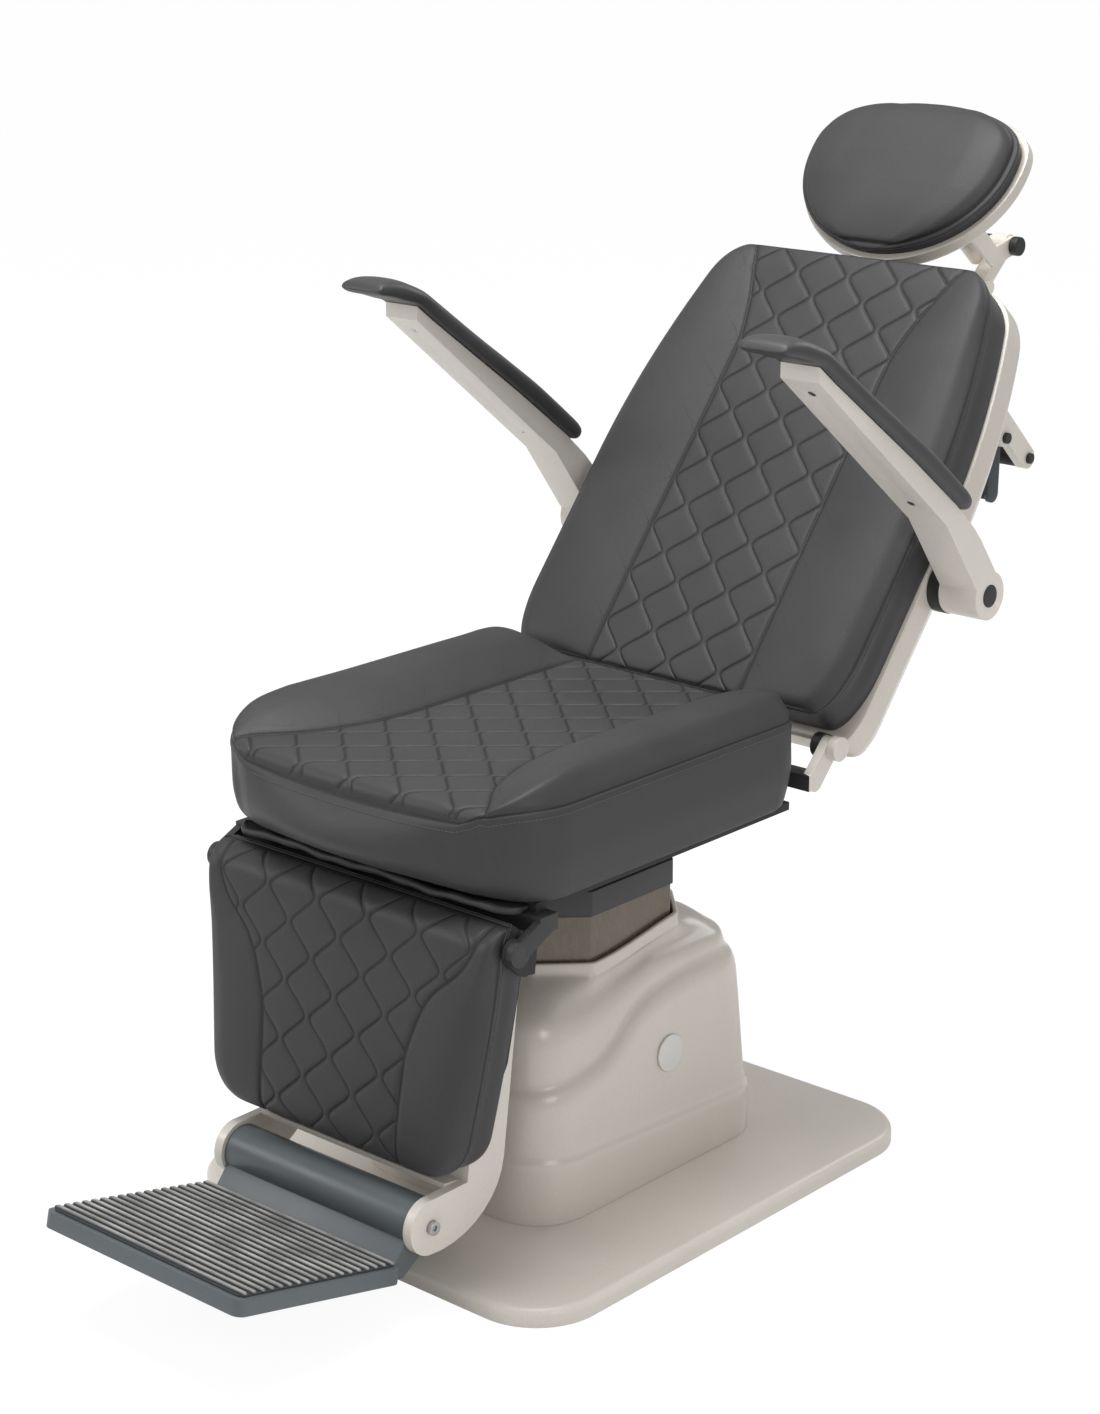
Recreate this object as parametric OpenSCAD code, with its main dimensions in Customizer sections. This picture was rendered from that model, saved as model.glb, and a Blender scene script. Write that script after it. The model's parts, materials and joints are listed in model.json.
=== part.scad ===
// Ophthalmic examination chair: a lifting, swivelling base carries the seat, a reclining back with
// flip-up arms and a sliding headrest, and a raising legrest with a folding footrest.
// The sitter faces -Y, +Z is up, and the origin is on the floor under the lift column.

/* [Base] */
// Width of the base plate
base_w = 600; // [480:10:700]
// Length of the base plate, front to rear
base_l = 710; // [600:10:820]
// Distance from the column axis to the front edge of the base plate
base_front = 375; // [330:5:420]
// Thickness of the base plate
base_t = 22; // [14:1:30]
// Corner radius of the base plate
base_corner_r = 85; // [40:5:120]
// Rounding of the upper edge of the base plate
base_edge_r = 9; // [3:1:12]

/* [Base cover] */
// Width of the moulded cover over the column
cover_w = 324; // [300:2:380]
// Length of the moulded cover
cover_l = 430; // [400:2:480]
// Distance from the column axis to the front of the cover
cover_front = 221; // [210:1:240]
// Corner radius of the cover
cover_r = 72; // [50:1:90]
// Wall of the cover
cover_wall = 4; // [3:0.5:6]
// Height of the skirt above the base plate at the front
skirt_front_h = 81; // [60:1:100]
// Height of the skirt above the base plate at the rear
skirt_rear_h = 58; // [50:1:90]
// Step from the skirt in to the body of the cover
skirt_step = 5; // [3:0.5:8]
// Height above the base plate of the body's shelf at the front
body_front_h = 158; // [140:1:190]
// Height above the base plate of the body's shelf at the rear
body_rear_h = 242; // [220:1:260]
// Step from the body in to the upper cowl
cowl_step = 13; // [8:1:20]
// Height above the base plate of the cowl's shoulder at the front
cowl_front_h = 243; // [225:1:255]
// Height above the base plate of the cowl's shoulder at the rear
cowl_rear_h = 272; // [262:1:285]
// Height above the base plate of the opening's rim at the front
rim_front_h = 287; // [275:1:300]
// Height above the base plate of the opening's rim at the rear
rim_rear_h = 309; // [300:1:320]
// Diameter of the blank round badge
badge_d = 46; // [30:1:60]

/* [Lift] */
// Outside diameter of the fixed column tube
column_d = 130; // [110:2:150]
// Height of the fixed column tube above the base plate
column_h = 268; // [240:2:290]
// Wall of the column tubes
column_wall = 6; // [4:0.5:8]
// Stroke of the lift
lift_stroke = 200; // [120:10:210]
// Diameter of the hydraulic cylinder
ram_d = 56; // [44:2:70]
// Diameter of the hydraulic piston rod
rod_d = 28; // [20:1:34]
// Width of the sliding shroud
shroud_w = 214; // [200:2:220]
// Length of the sliding shroud, front to rear
shroud_l = 240; // [220:2:250]
// Chamfer at the corners of the shroud
shroud_chamfer = 47; // [30:1:55]
// Height of the underside of the collar above the floor, with the lift down
collar_z = 365; // [355:1:380]
// Height of the collar
collar_h = 32; // [26:1:40]

/* [Seat] */
// Width of the seat cushion
seat_w = 510; // [460:2:530]
// Length of the seat cushion between its front and rear seams
seat_l = 506; // [480:1:507]
// Distance from the column axis to the front seam of the seat cushion
seat_front = 353; // [345:1:365]
// Height of the cushion's base above the floor
seat_z = 476; // [470:1:490]
// Thickness of the seat cushion at its middle
seat_t = 112; // [90:1:130]
// Height of the bolsters above the middle of the seat
seat_bolster = 32; // [5:1:36]
// Swell of the cushion's front face past its seam
seat_swell = 20; // [5:1:24]
// Corner radius of the seat cushion
seat_corner_r = 62; // [40:1:80]

/* [Back] */
// Angle of the back from upright in the modelled position
recline = 39.5; // [30:0.5:45]
// Distance of the recline axis behind the column axis
recline_y = 205; // [200:1:215]
// Height of the recline axis above the floor
recline_z = 535; // [530:1:545]
// How far the back passes the seat cushion on each side
back_side = 7; // [0:1:10]
// Length of the back cushion
back_l = 619; // [560:1:650]
// Narrowing of the back on each side towards its top
back_taper = 56; // [10:1:64]
// Thickness of the back cushion at its middle
back_t = 66; // [50:1:80]
// Height of the bolsters above the middle of the back
back_bolster = 11; // [4:1:20]
// Depth of the side wall of the back shell
shell_side = 60; // [50:1:70]
// Depth of the raised rear of the back shell
shell_dome = 50; // [30:1:60]
// Wall of the back shell
shell_wall = 4; // [3:0.5:6]

/* [Arms] */
// Distance from the side of the back to the middle of each arm
arm_out = 44; // [41:1:58]
// Width of the arm bracket
arm_w = 54; // [44:1:58]
// Width of the arm pad
pad_w = 74; // [60:1:78]
// Radius of the arm's hub
hub_r = 30; // [26:1:34]
// Diameter of the arm's pivot shaft
arm_shaft_d = 25; // [18:1:28]

/* [Headrest] */
// Width of the headrest
head_w = 316; // [260:2:340]
// Height of the headrest
head_h = 222; // [180:2:230]
// Thickness of the headrest cushion
head_t = 52; // [40:1:64]
// Distance of the headrest's middle above the top of the back cushion, along the back
head_rise = 125; // [117:1:142]
// Width of the sliding post
post_w = 40; // [30:1:50]
// Thickness of the sliding post
post_t = 20; // [14:1:24]
// Travel of the headrest post
post_travel = 90; // [60:5:110]

/* [Legrest] */
// How far the legrest cushion is set in from the seat cushion on each side
leg_side = 27; // [25:1:45]
// Narrowing of the legrest cushion on each side at its foot
leg_taper = 30; // [10:1:40]
// Length of the legrest cushion below its hinge axis
leg_l = 279; // [240:1:300]
// Thickness of the legrest cushion at its middle
leg_t = 62; // [50:1:66]
// Angle of the legrest from upright in the modelled position
leg_tilt = 7.8; // [4:0.2:12]
// Radius of the rolled upper end of the legrest
leg_roll_r = 28; // [24:1:29]
// Distance of the legrest's hinge axis in front of the column axis
leg_y = 343; // [338:1:350]
// Height of the legrest's hinge axis above the floor
leg_z = 434; // [430:1:434]

/* [Footrest] */
// Width of the footrest's tread
tread_w = 320; // [280:2:330]
// Length of the tread, heel to toe
tread_l = 248; // [200:2:260]
// Thickness of the tread
tread_t = 25; // [18:1:28]
// Radius of the footrest's hinge barrel
barrel_r = 29; // [24:1:32]
// Length of the hinge barrel
barrel_l = 294; // [270:2:300]
// Number of ribs across the tread
rib_count = 18; // [10:1:20]
// Radius of the side frame's knuckle
knuckle_r = 33; // [31:1:40]

/* [Release lever and handle] */
// Distance from the middle of the chair to the middle of each handle arm
handle_x = 176; // [140:1:184]
// Diameter of the push handle's grip tube
grip_d = 26; // [20:1:30]
// Diameter of the release lever's tube
lever_d = 18; // [14:1:22]

/* [Hidden] */

$fn = 72;
// Overrun of a cut past the face that it opens
cut = 1;
// Gap around a soft piece
soft_gap = 0.4;
// Radial clearance of a running fit, and of a sliding fit
run_gap = 0.05;
slide_gap = 0.1;
// Gap around a piece that passes through a cover
pass_gap = 1;
// Gap between faces that turn past each other
face_gap = 0.3;

// Colours
paint = "#cdc7bc";
vinyl = "#4b4b4c";
steel = "#b9bcc0";
blued = "#4f5a63";
black = "#222222";

// Column flange, its bolts and the power inlet
flange_w = 220;
flange_t = 12;
bolt_inset = 16;
bolt_d = 12;
bolt_head_d = 20;
bolt_head_h = 8;
bolt_depth = 14;
ring_h = 14;
ring_out = 8;
column_foot_gap = 18;
inlet_w = 48;
inlet_h = 30;
inlet_up = 18;
inlet_deep = 24;
inlet_x = -95;
inlet_rim = 4;
pin_w = 2;
pin_l = 6;
pin_pitch = 10;

// Cover: draft of its walls, the rise of its shelf and shoulder, and the rim around the shroud
draft_side = 8;
draft_rear = 20;
badge_t = 3;
badge_y = 17;
badge_up = 153;
rim_wall = 9;
shroud_gap = 3;
body_rise_shares = [[0, 0], [0.27, 0.2], [0.35, 0.4], [0.435, 0.72], [0.52, 0.88], [0.7, 0.99], [1, 1]];
cowl_rise_shares = [[0, 0], [0.24, 0], [0.31, 0.2], [0.48, 0.75], [0.56, 1], [1, 1]];
rim_rise_shares = [[0, 0], [0.35, 0], [0.78, 1], [1, 1]];

// Lift
ram_spare = 4;
ram_floor = 8;
ram_bore = 40;
gland_h = 12;
piston_h = 20;
piston_rest = 14;
shroud_wall = 3;
shroud_lap = 65;
collar_out = 3;
pump_w = 78;
pump_l = 54;
pump_h = 96;
pump_y = 128;
motor_d = 54;
motor_l = 66;
motor_up = 30;

// Swivel and the frame on it
deck_z = collar_z + collar_h;
top_plate_t = 12;
bearing_d = 160;
bearing_h = 6;
spigot_d = 90;
turntable_w = 240;
turntable_l = 300;
turntable_t = 8;
rail_w = 30;
rail_x = 110;
rail_front = 296;
rail_rear = 150;
bar_h = 20;
bar_l = 28;
ear_inset = 26;
ear_t = 12;
ear_r = 13;
riser_l = 22;
riser_gap = 6;
ear_rise = 69;
lock_t = 13;
lock_r = 15;
recline_pin_d = 16;
pan_t = 10;
lock_wall = 4;
pan_inset = 29;
pan_front = 300;
flap_t = 3;
flap_l = 40;
flap_up = 5.5;
frame_z = deck_z + 2 * bearing_h + turntable_t;

// Legrest: the roll's axle, its ears, the board and the side frame
axle_d = 18;
board_t = 10;
board_inset = 12;
leg_ear_t = 4;
leg_ear_r = 15;
arm_ear_t = 10;
front_arm_l = 43;
front_arm_r = 11;
side_x = 148;
side_t = 13;
side_deep = 96;
side_lip = 298;
panel_t = 6;
lip_front = 12;
knuckle_front = 16;
knuckle_down = 333;
shaft_d = 16;
foot_bolt_d = 16;
foot_bolt_h = 6;
socket_d = 7;
socket_h = 4;
toe_up = 13.2;
tread_down = 36;
tread_gap = 35;
tread_r = 12;
tread_neck = 26;
mat_t = 2;
mat_edge = 6;
rib_h = 3.5;
rib_share = 0.55;

// Back: the board's plane behind the recline axis, the shell and the pieces at the arms
back_base_y = 16;
back_base_z = 19;
back_corner = [40, 55];
back_foot_corner = [34, 90];
plate_t = 11;
plate_r = 15;
plate_rise = 110;
plate_deep = 60;
arm_y = 47;
arm_up = 249;
arm_boss_d = 44;
arm_boss_x = 180;
arm_shaft_in = 190;
arm_shaft_l = 30;
arm_collar_d = 62;
shell_step_share = 0.5;
shell_inset = 24;
dome_inset = 78;
dome_foot = 60;

// Arm bracket and pad: outlines in shares of the arm's reach and rise
arm_reach = 481;
arm_rise = 48;
bracket_shares = [[0.297, 0.41], [0.977, 0.35], [1, 0.64], [0.931, 0.66], [0.736, 0.78],
    [0.528, 0.91], [0.291, 1], [0.187, 0.965], [0.135, 0.885]];
// The hub's arc, from its top round the rear to its underside
hub_from = 108;
hub_to = -162;
// Each row of the pad: place along the reach, underside and top in shares of the rise, and half width
pad_shares = [[0.246, 1.17, 1.45, 0.8], [0.258, 1.05, 1.5, 0.94], [0.281, 1.01, 1.53, 1],
    [0.451, 0.956, 1.51, 1], [0.624, 0.865, 1.39, 1], [0.778, 0.768, 1.26, 1], [0.873, 0.71, 1.2, 1],
    [0.936, 0.672, 1.16, 1], [1.002, 0.655, 1.11, 1], [1.04, 0.5, 1.01, 1], [1.081, 0.345, 0.88, 0.99],
    [1.112, 0.21, 0.72, 0.98], [1.137, 0.1, 0.53, 0.95], [1.152, 0.11, 0.3, 0.9]];
// A pad's section, from its rear lower corner round over the top: half width and height
pad_section_shares = [[0.92, 0], [1, 0.35], [0.96, 0.74], [0.74, 0.97], [0.35, 1.02]];
cap_d = 28;
cap_t = 3;
cap_recess = 2;
pad_screw_d = 6;
pad_screw_head = 10;
pad_screw_h = 4;
// Place of each screw along the reach, and its seat and top in shares of the rise
pad_screw_shares = [[0.39, 0.4, 0.95], [0.916, 0.357, 0.66]];

// Headrest and its post: guide and post against the top of the back, knuckle against the headrest's middle
guide_w = 64;
guide_l = 52;
guide_y = 170;
guide_below = 93;
guide_h = 103;
guide_post_d = 24;
guide_post_shares = [0.2, 0.6];
slide_y = 182;
post_hold = 43;
post_rise = 27;
neck_y = 210;
neck_rise = 97;
neck_r = 9.5;
knuckle_y = 224;
knuckle_rise = 65;
eye_r = 15;
eye_w = 22;
neck_screw_d = 8;
neck_screw_h = 3;
head_pin_d = 10;
knob_d = 26;
knob_t = 12;
cheek_t = 6;
blade_h = 26;
blade_t = 8;
blade_rise = 30;
neck_stop_share = 0.2;
head_y = -9;
head_edge_h = 30;
head_rim = 6;
head_rim_h = 14;
head_floor = 5;
head_dome = 24;
head_dome_share = 0.62;
head_widest_share = 0.62;
head_end_share = 0.2;

// Push handle and release lever: root below the top of the back, grips and pivot below the root
handle_t = 14;
handle_r = 14;
handle_below = 109;
handle_grip_y = 212;
handle_grip_drop = 15;
grip_wall = 3;
end_bolt_d = 14;
end_bolt_h = 5;
lever_y = 146;
lever_drop = 23;
lever_grip_y = 192;
lever_grip_drop = 59;
lever_t = 6;
lever_r = 12;
lever_lug_r = 12;
lever_pin_d = 8;
spring_wall = 2;
spring_l = 8;

// Cushions: the quilting's period across and along, and the columns that carry it each side
quilt_w = 80;
quilt_l = 70;
quilt_columns = 8;
quilt_depth = 3.5;
panel_seam_depth = 3;
edge_margin = 12;
edge_row = 5;
row_gap = 4;
outer_shares = [0.66, 1];
// Height across a bolster and down to its edge, and towards a cushion's ends
rise_shares = [[0, 0], [0.25, 0.45], [0.5, 0.82], [0.8, 1], [1, 0]];
fall_shares = [[0, 0], [0.6, 0], [0.85, 0.25], [1, 1]];
end_shares = [[0, 1], [0.1, 0.55], [0.3, 0.2], [0.6, 0.05], [1, 0]];
puff_shares = [0, 0.75, 1];
taper_start_share = 0.45;
// Half width of each quilted panel along its cushion
back_panel_shares = [[0, 0.46], [0.75, 0.45], [0.84, 0.49], [0.92, 0.555], [1, 0.63]];
seat_panel_shares = [[0, 0.78], [0.02, 0.76], [0.13, 0.6], [0.22, 0.52], [0.33, 0.46], [0.43, 0.44],
    [1, 0.44]];
leg_panel_shares = [[0, 0.478], [0.2, 0.483], [0.42, 0.5], [0.56, 0.55], [0.68, 0.63], [0.82, 0.82],
    [0.9, 0.88], [1, 0.91]];
// A cushion's wall, and the drop of the seat's front
draw = 5;
seat_foot = 31;
seat_edge_drop = 23;
seat_end_l = 60;
back_edge_h = 60;
back_end_l = 60;
leg_edge_h = 41;
leg_end_l = 50;
leg_corner = [52, 62];
seat_rear_r = 40;
seat_phase = 48;
back_phase = 4;
leg_phase = 15;

// Sizes that follow from those above
back_w = seat_w + 2 * back_side;
leg_w = seat_w - 2 * leg_side;
arm_x = back_w / 2 + arm_out;
back_top = back_base_z + back_l;
head_up = back_top + head_rise;
guide_z = back_top - guide_below;
post_top = back_top + post_rise;
neck_z = back_top + neck_rise;
knuckle_z = head_up + knuckle_rise;
handle_root_z = back_top - handle_below;
handle_grip_z = handle_root_z - handle_grip_drop;
lever_z = handle_root_z - lever_drop;
lever_grip_z = lever_z - lever_grip_drop;
ram_h = ram_floor + piston_rest + lift_stroke + ram_spare + piston_h + gland_h;
shroud_drop = lift_stroke + shroud_lap;
post_foot = guide_z + guide_h - post_hold - post_travel;
inner_d = column_d - 2 * column_wall - 2 * slide_gap;
badge_angle = atan(draft_side / (cowl_rear_h - skirt_rear_h));
badge_lean = tan(badge_angle) * (badge_up - skirt_rear_h);
pan_z = seat_z - pan_t;
pan_w = seat_w - 2 * pan_inset;
pan_rear = rail_rear;
ear_x = back_w / 2 - ear_inset;
seat_rear = seat_l - seat_front;
riser_y = seat_rear + riser_gap;
ear_foot_z = recline_z - ear_rise / 2;
front_bar_y = front_arm_l - leg_y - front_arm_r;
plate_x = ear_x - face_gap - plate_t;
leg_ear_x = leg_w / 2 + face_gap;
arm_ear_x = leg_ear_x + leg_ear_t + face_gap;
side_front = leg_roll_r + board_t;
side_bend = leg_l - side_t / 2;
tread_top = -tread_down - mat_t - rib_h;
rib_pitch = (tread_l - 2 * mat_edge) / rib_count;
lever_x = handle_x - face_gap - lever_t;
head_back = head_y + head_floor + head_dome;

// Places: everything is modelled in the frame of the piece that carries it
module in_back() translate([0, recline_y, recline_z]) rotate([-recline, 0, 0]) children();
module in_leg() translate([0, -leg_y, leg_z]) rotate([-leg_tilt, 0, 0]) children();
module in_foot() in_leg() translate([0, -knuckle_front, -knuckle_down]) rotate([leg_tilt - toe_up, 0, 0])
    children();
module in_head() in_back() translate([0, head_y, head_up - head_h / 2]) children();
module in_arm(side) in_back() translate([side * arm_x, arm_y, arm_up]) children();

module both_sides() {
    children();
    mirror([1, 0, 0]) children();
}

// A round bar along X from x0 to x1
module bar(d, x0, x1) translate([x0, 0, 0]) rotate([0, 90, 0]) cylinder(d = d, h = x1 - x0);

// A flat outline in Y and Z, given thickness along X from x0 to x1
module side_plate(x0, x1) translate([x0, 0, 0]) rotate([90, 0, 90]) linear_extrude(x1 - x0) children();

// A flat outline in X and Z, given thickness along Y from y0 to y1
module face_plate(y0, y1) translate([0, y1, 0]) rotate([90, 0, 0]) linear_extrude(y1 - y0) children();

// A bar with round ends between two points of a plane
module link(p, q, r) hull() {
    translate(p) circle(r);
    translate(q) circle(r);
}

module round_rect(w, l, r) {
    square([w - 2 * r, l], center = true);
    square([w, l - 2 * r], center = true);
    for (x = [r - w / 2, w / 2 - r], y = [r - l / 2, l / 2 - r]) translate([x, y]) circle(r);
}

module chamfer_rect(w, l, c) polygon([[c - w / 2, -l / 2], [w / 2 - c, -l / 2], [w / 2, c - l / 2],
    [w / 2, l / 2 - c],
    [w / 2 - c, l / 2], [c - w / 2, l / 2], [-w / 2, l / 2 - c], [-w / 2, c - l / 2]]);

// Half of a slab's section, r wide, with its upper edge rounded by e
module soft_edge(r, h, e) {
    square([r - e, h]);
    square([r, h - e]);
    translate([r - e, h - e]) intersection() {
        circle(e);
        square(e);
    }
}

// A slab with round corners whose upper edge is rounded too
module soft_slab(w, l, h, r, e) {
    for (x = [r - w / 2, w / 2 - r], y = [r - l / 2, l / 2 - r]) translate([x, y, 0]) rotate_extrude()
        soft_edge(r, h, e);
    for (turn = [0, 180]) rotate(turn) {
        translate([w / 2 - r, l / 2 - r, 0]) rotate([90, 0, 0]) linear_extrude(l - 2 * r)
            soft_edge(r, h, e);
        translate([r - w / 2, l / 2 - r, 0]) rotate([90, 0, 90]) linear_extrude(w - 2 * r)
            soft_edge(r, h, e);
    }
    linear_extrude(h) square([w - 2 * r, l - 2 * r], center = true);
}

// A screw along +Z: a round head with a socket, standing on its seat, and a shank below
module screw(head_d, head_h, shank_d, shank_l, socket) {
    difference() {
        cylinder(d = head_d, h = head_h);
        translate([0, 0, head_h / 2]) cylinder(d = socket, h = head_h, $fn = 6);
    }
    translate([0, 0, -shank_l]) cylinder(d = shank_d, h = shank_l);
}

// Base
module base_plate() color(paint) difference() {
    translate([0, base_l / 2 - base_front, 0]) soft_slab(base_w, base_l, base_t, base_corner_r,
        base_edge_r);
    at_bolts() translate([0, 0, base_t - bolt_depth]) cylinder(d = bolt_d, h = bolt_depth + cut);
}

module at_bolts() for (x = [-1, 1], y = [-1, 1])
    translate([x * (flange_w / 2 - bolt_inset), y * (flange_w / 2 - bolt_inset), 0]) children();

module column_bolts() color(steel) at_bolts() translate([0, 0, base_t + flange_t])
    screw(bolt_head_d, bolt_head_h, bolt_d, flange_t + bolt_depth, bolt_d / 2);

module column_outer() color(steel) translate([0, 0, base_t]) difference() {
    union() {
        linear_extrude(flange_t) round_rect(flange_w, flange_w, bolt_inset);
        cylinder(d = column_d, h = column_h);
    }
    translate([0, 0, -cut]) cylinder(d = column_d - 2 * column_wall, h = column_h + 2 * cut);
    at_bolts() translate([0, 0, -cut]) cylinder(d = bolt_d, h = flange_t + 2 * cut);
}

module guide_ring() color(black) translate([0, 0, base_t + column_h]) difference() {
    cylinder(d = column_d + 2 * ring_out, h = ring_h);
    translate([0, 0, -cut]) cylinder(d = column_d - 2 * column_wall, h = ring_h + 2 * cut);
}

// The cover's outside, or with a wall's thickness its inside: skirt, body, cowl and the rim round the shroud
module cover_form(wall) translate([0, 0, base_t]) {
    intersection() {
        linear_extrude(base_l) cover_plan(wall);
        cover_side([[0, skirt_front_h - wall], [1, skirt_rear_h - wall]]);
    }
    intersection() {
        linear_extrude(base_l) cover_plan(wall + skirt_step);
        cover_side(risen(body_rise_shares, body_front_h - wall, body_rear_h - wall));
        cover_draft(wall + skirt_step);
    }
    intersection() {
        linear_extrude(base_l) cover_plan(wall + skirt_step + cowl_step);
        cover_side(risen(cowl_rise_shares, cowl_front_h - wall, cowl_rear_h - wall));
        cover_draft(wall + skirt_step + cowl_step);
    }
}

function risen(shares, from, to) = [for (p = shares) [p[0], from + (to - from) * p[1]]];

module cover_plan(inset) translate([0, cover_l / 2 - cover_front])
    round_rect(cover_w - 2 * inset, cover_l - 2 * inset, cover_r - inset);

// All that lies under a line of places along the cover and heights
module cover_side(line) side_plate(-cover_w, cover_w)
    polygon(concat([[cover_l - cover_front + cut, -cut], [-cover_front - cut, -cut]],
        [for (p = line) [p[0] * (cover_l + 2 * cut) - cover_front - cut, p[1]]]));

// The draft of the body's sides and rear, from the skirt up
module cover_draft(inset) {
    low = skirt_rear_h;
    w = cover_w / 2 - inset;
    rear = cover_l - cover_front - inset;
    lean_x = draft_side / (cowl_rear_h - low);
    lean_y = draft_rear / (cowl_rear_h - low);
    intersection() {
        face_plate(-cover_l, cover_l) polygon([[-w, -cut], [w, -cut], [w, low],
        [w - lean_x * cover_l, low + cover_l],
        [lean_x * cover_l - w, low + cover_l], [-w, low]]);
        side_plate(-cover_w, cover_w) polygon([[-cover_l, -cut], [rear, -cut], [rear, low],
        [rear - lean_y * cover_l, low + cover_l], [-cover_l, low + cover_l]]);
    }
}

module base_cover() color(paint) difference() {
    union() {
        cover_form(0);
        translate([0, 0, base_t]) intersection() {
            linear_extrude(base_l) chamfer_rect(shroud_w + 2 * rim_wall, shroud_l + 2 * rim_wall,
                shroud_chamfer + rim_wall / 2);
            cover_side(risen(rim_rise_shares, rim_front_h, rim_rear_h));
        }
    }
    difference() {
        union() {
            cover_form(cover_wall);
            linear_extrude(base_t + cut) cover_plan(cover_wall);
        }
        linear_extrude(base_t) square(base_w, center = true);
    }
    translate([0, 0, base_t]) linear_extrude(base_l)
        chamfer_rect(shroud_w + 2 * shroud_gap, shroud_l + 2 * shroud_gap, shroud_chamfer);
    at_inlet() face_plate(-inlet_deep, cut) square([inlet_w, inlet_h], center = true);
}

module at_inlet() translate([inlet_x, cover_l - cover_front, base_t + inlet_up + inlet_h / 2]) children();

module cover_badge() color(steel) translate([cover_w / 2 - skirt_step - badge_lean, badge_y, base_t + badge_up])
    rotate([0, 90 - badge_angle, 0]) translate([0, 0, face_gap]) cylinder(d = badge_d, h = badge_t);

module power_inlet() color(black) at_inlet() {
    difference() {
        union() {
            face_plate(0, badge_t) square([inlet_w + 2 * inlet_rim, inlet_h + 2 * inlet_rim], center =
                true);
            face_plate(-inlet_deep, 0) square([inlet_w, inlet_h], center = true);
        }
        face_plate(-inlet_deep + inlet_rim, badge_t + cut)
            square([inlet_w - 2 * inlet_rim, inlet_h - 2 * inlet_rim], center = true);
    }
    for (k = [-1 : 1]) face_plate(-inlet_deep + inlet_rim, -inlet_rim) translate([k * pin_pitch, 0])
        square([pin_w, pin_l], center = true);
}

// Lift
module lift_cylinder() color(steel) translate([0, 0, base_t]) difference() {
    cylinder(d = ram_d, h = ram_h);
    translate([0, 0, ram_floor]) cylinder(d = ram_bore, h = ram_h - ram_floor - gland_h);
    cylinder(d = rod_d + 2 * run_gap, h = ram_h + cut);
    cylinder(d = ram_bore, h = ram_floor);
}

module lift_rod() color(steel) translate([0, 0, base_t + ram_floor + piston_rest]) {
    cylinder(d = ram_bore - 2 * run_gap, h = piston_h);
    cylinder(d = rod_d, h = deck_z - top_plate_t - base_t - ram_floor - piston_rest);
}

module column_inner() color(steel) {
    translate([0, 0, base_t + column_foot_gap]) difference() {
        cylinder(d = inner_d, h = deck_z - top_plate_t - base_t - column_foot_gap);
        translate([0, 0, -cut]) cylinder(d = inner_d - 2 * column_wall, h = deck_z);
    }
    translate([0, 0, deck_z - top_plate_t]) linear_extrude(top_plate_t)
        chamfer_rect(shroud_w - 2 * shroud_wall, shroud_l - 2 * shroud_wall, shroud_chamfer);
}

module column_shroud() color("#5f564c") translate([0, 0, collar_z - shroud_drop])
    linear_extrude(shroud_drop) difference() {
    chamfer_rect(shroud_w, shroud_l, shroud_chamfer);
    chamfer_rect(shroud_w - 2 * shroud_wall, shroud_l - 2 * shroud_wall, shroud_chamfer);
}

module shroud_collar() color("#3a3b3d") translate([0, 0, collar_z]) linear_extrude(collar_h) difference() {
    chamfer_rect(shroud_w + 2 * collar_out, shroud_l + 2 * collar_out, shroud_chamfer + collar_out / 2);
    chamfer_rect(shroud_w - 2 * shroud_wall, shroud_l - 2 * shroud_wall, shroud_chamfer);
}

module pump_unit() color("#3f4a55") translate([0, pump_y, base_t]) {
    translate([-pump_w, 0, 0]) cube([pump_w, pump_l, pump_h]);
    translate([0, pump_l / 2, motor_up]) bar(motor_d, 0, motor_l);
    translate([0, pump_l / 4, 0]) cube([motor_l, pump_l / 2, motor_up]);
}

// Swivel
module bearing_lower() color(steel) translate([0, 0, deck_z]) {
    cylinder(d = bearing_d, h = bearing_h);
    cylinder(d = spigot_d - 2 * run_gap, h = 2 * bearing_h - face_gap);
}

module bearing_upper() color(blued) translate([0, 0, deck_z + bearing_h]) difference() {
    cylinder(d = bearing_d, h = bearing_h);
    translate([0, 0, -cut]) cylinder(d = spigot_d, h = bearing_h + 2 * cut);
}

module turntable() color(black) translate([0, 0, deck_z + 2 * bearing_h]) linear_extrude(turntable_t)
    round_rect(turntable_w, turntable_l, bar_h);

// Seat
module seat_frame() color(blued) difference() {
    union() {
        both_sides() {
            translate([rail_x - rail_w / 2, -rail_front, frame_z])
                cube([rail_w, riser_y + riser_l + rail_front, pan_z - frame_z]);
            translate([rail_x - rail_w / 2, riser_y, frame_z])
                cube([rail_w, riser_l, ear_foot_z + ear_r - frame_z]);
            side_plate(ear_x, ear_x + ear_t) link([riser_y + ear_r + cut, ear_foot_z],
                [recline_y, recline_z], ear_r);
            side_plate(arm_ear_x, arm_ear_x + arm_ear_t) {
                link([-leg_y, leg_z], [front_arm_l - leg_y, pan_z - front_arm_r - cut], front_arm_r);
                translate([-leg_y, leg_z]) circle(leg_ear_r);
            }
        }
        translate([-arm_ear_x - arm_ear_t, front_bar_y, pan_z - bar_h])
            cube([2 * (arm_ear_x + arm_ear_t), bar_l, bar_h]);
        translate([-ear_x - ear_t, riser_y, ear_foot_z - bar_h / 2])
            cube([2 * (ear_x + ear_t), riser_l, bar_h]);
    }
    translate([0, recline_y, recline_z]) bar(recline_pin_d + 2 * run_gap, -seat_w, seat_w);
    translate([0, -leg_y, leg_z]) bar(axle_d + 2 * run_gap, -seat_w, seat_w);
}

module recline_lock() color(paint) both_sides() translate([0, recline_y, recline_z]) difference() {
    bar(2 * lock_r, ear_x + ear_t, ear_x + ear_t + lock_t);
    bar(recline_pin_d + 2 * run_gap, 0, ear_x + ear_t + lock_t - lock_wall);
}

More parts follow.
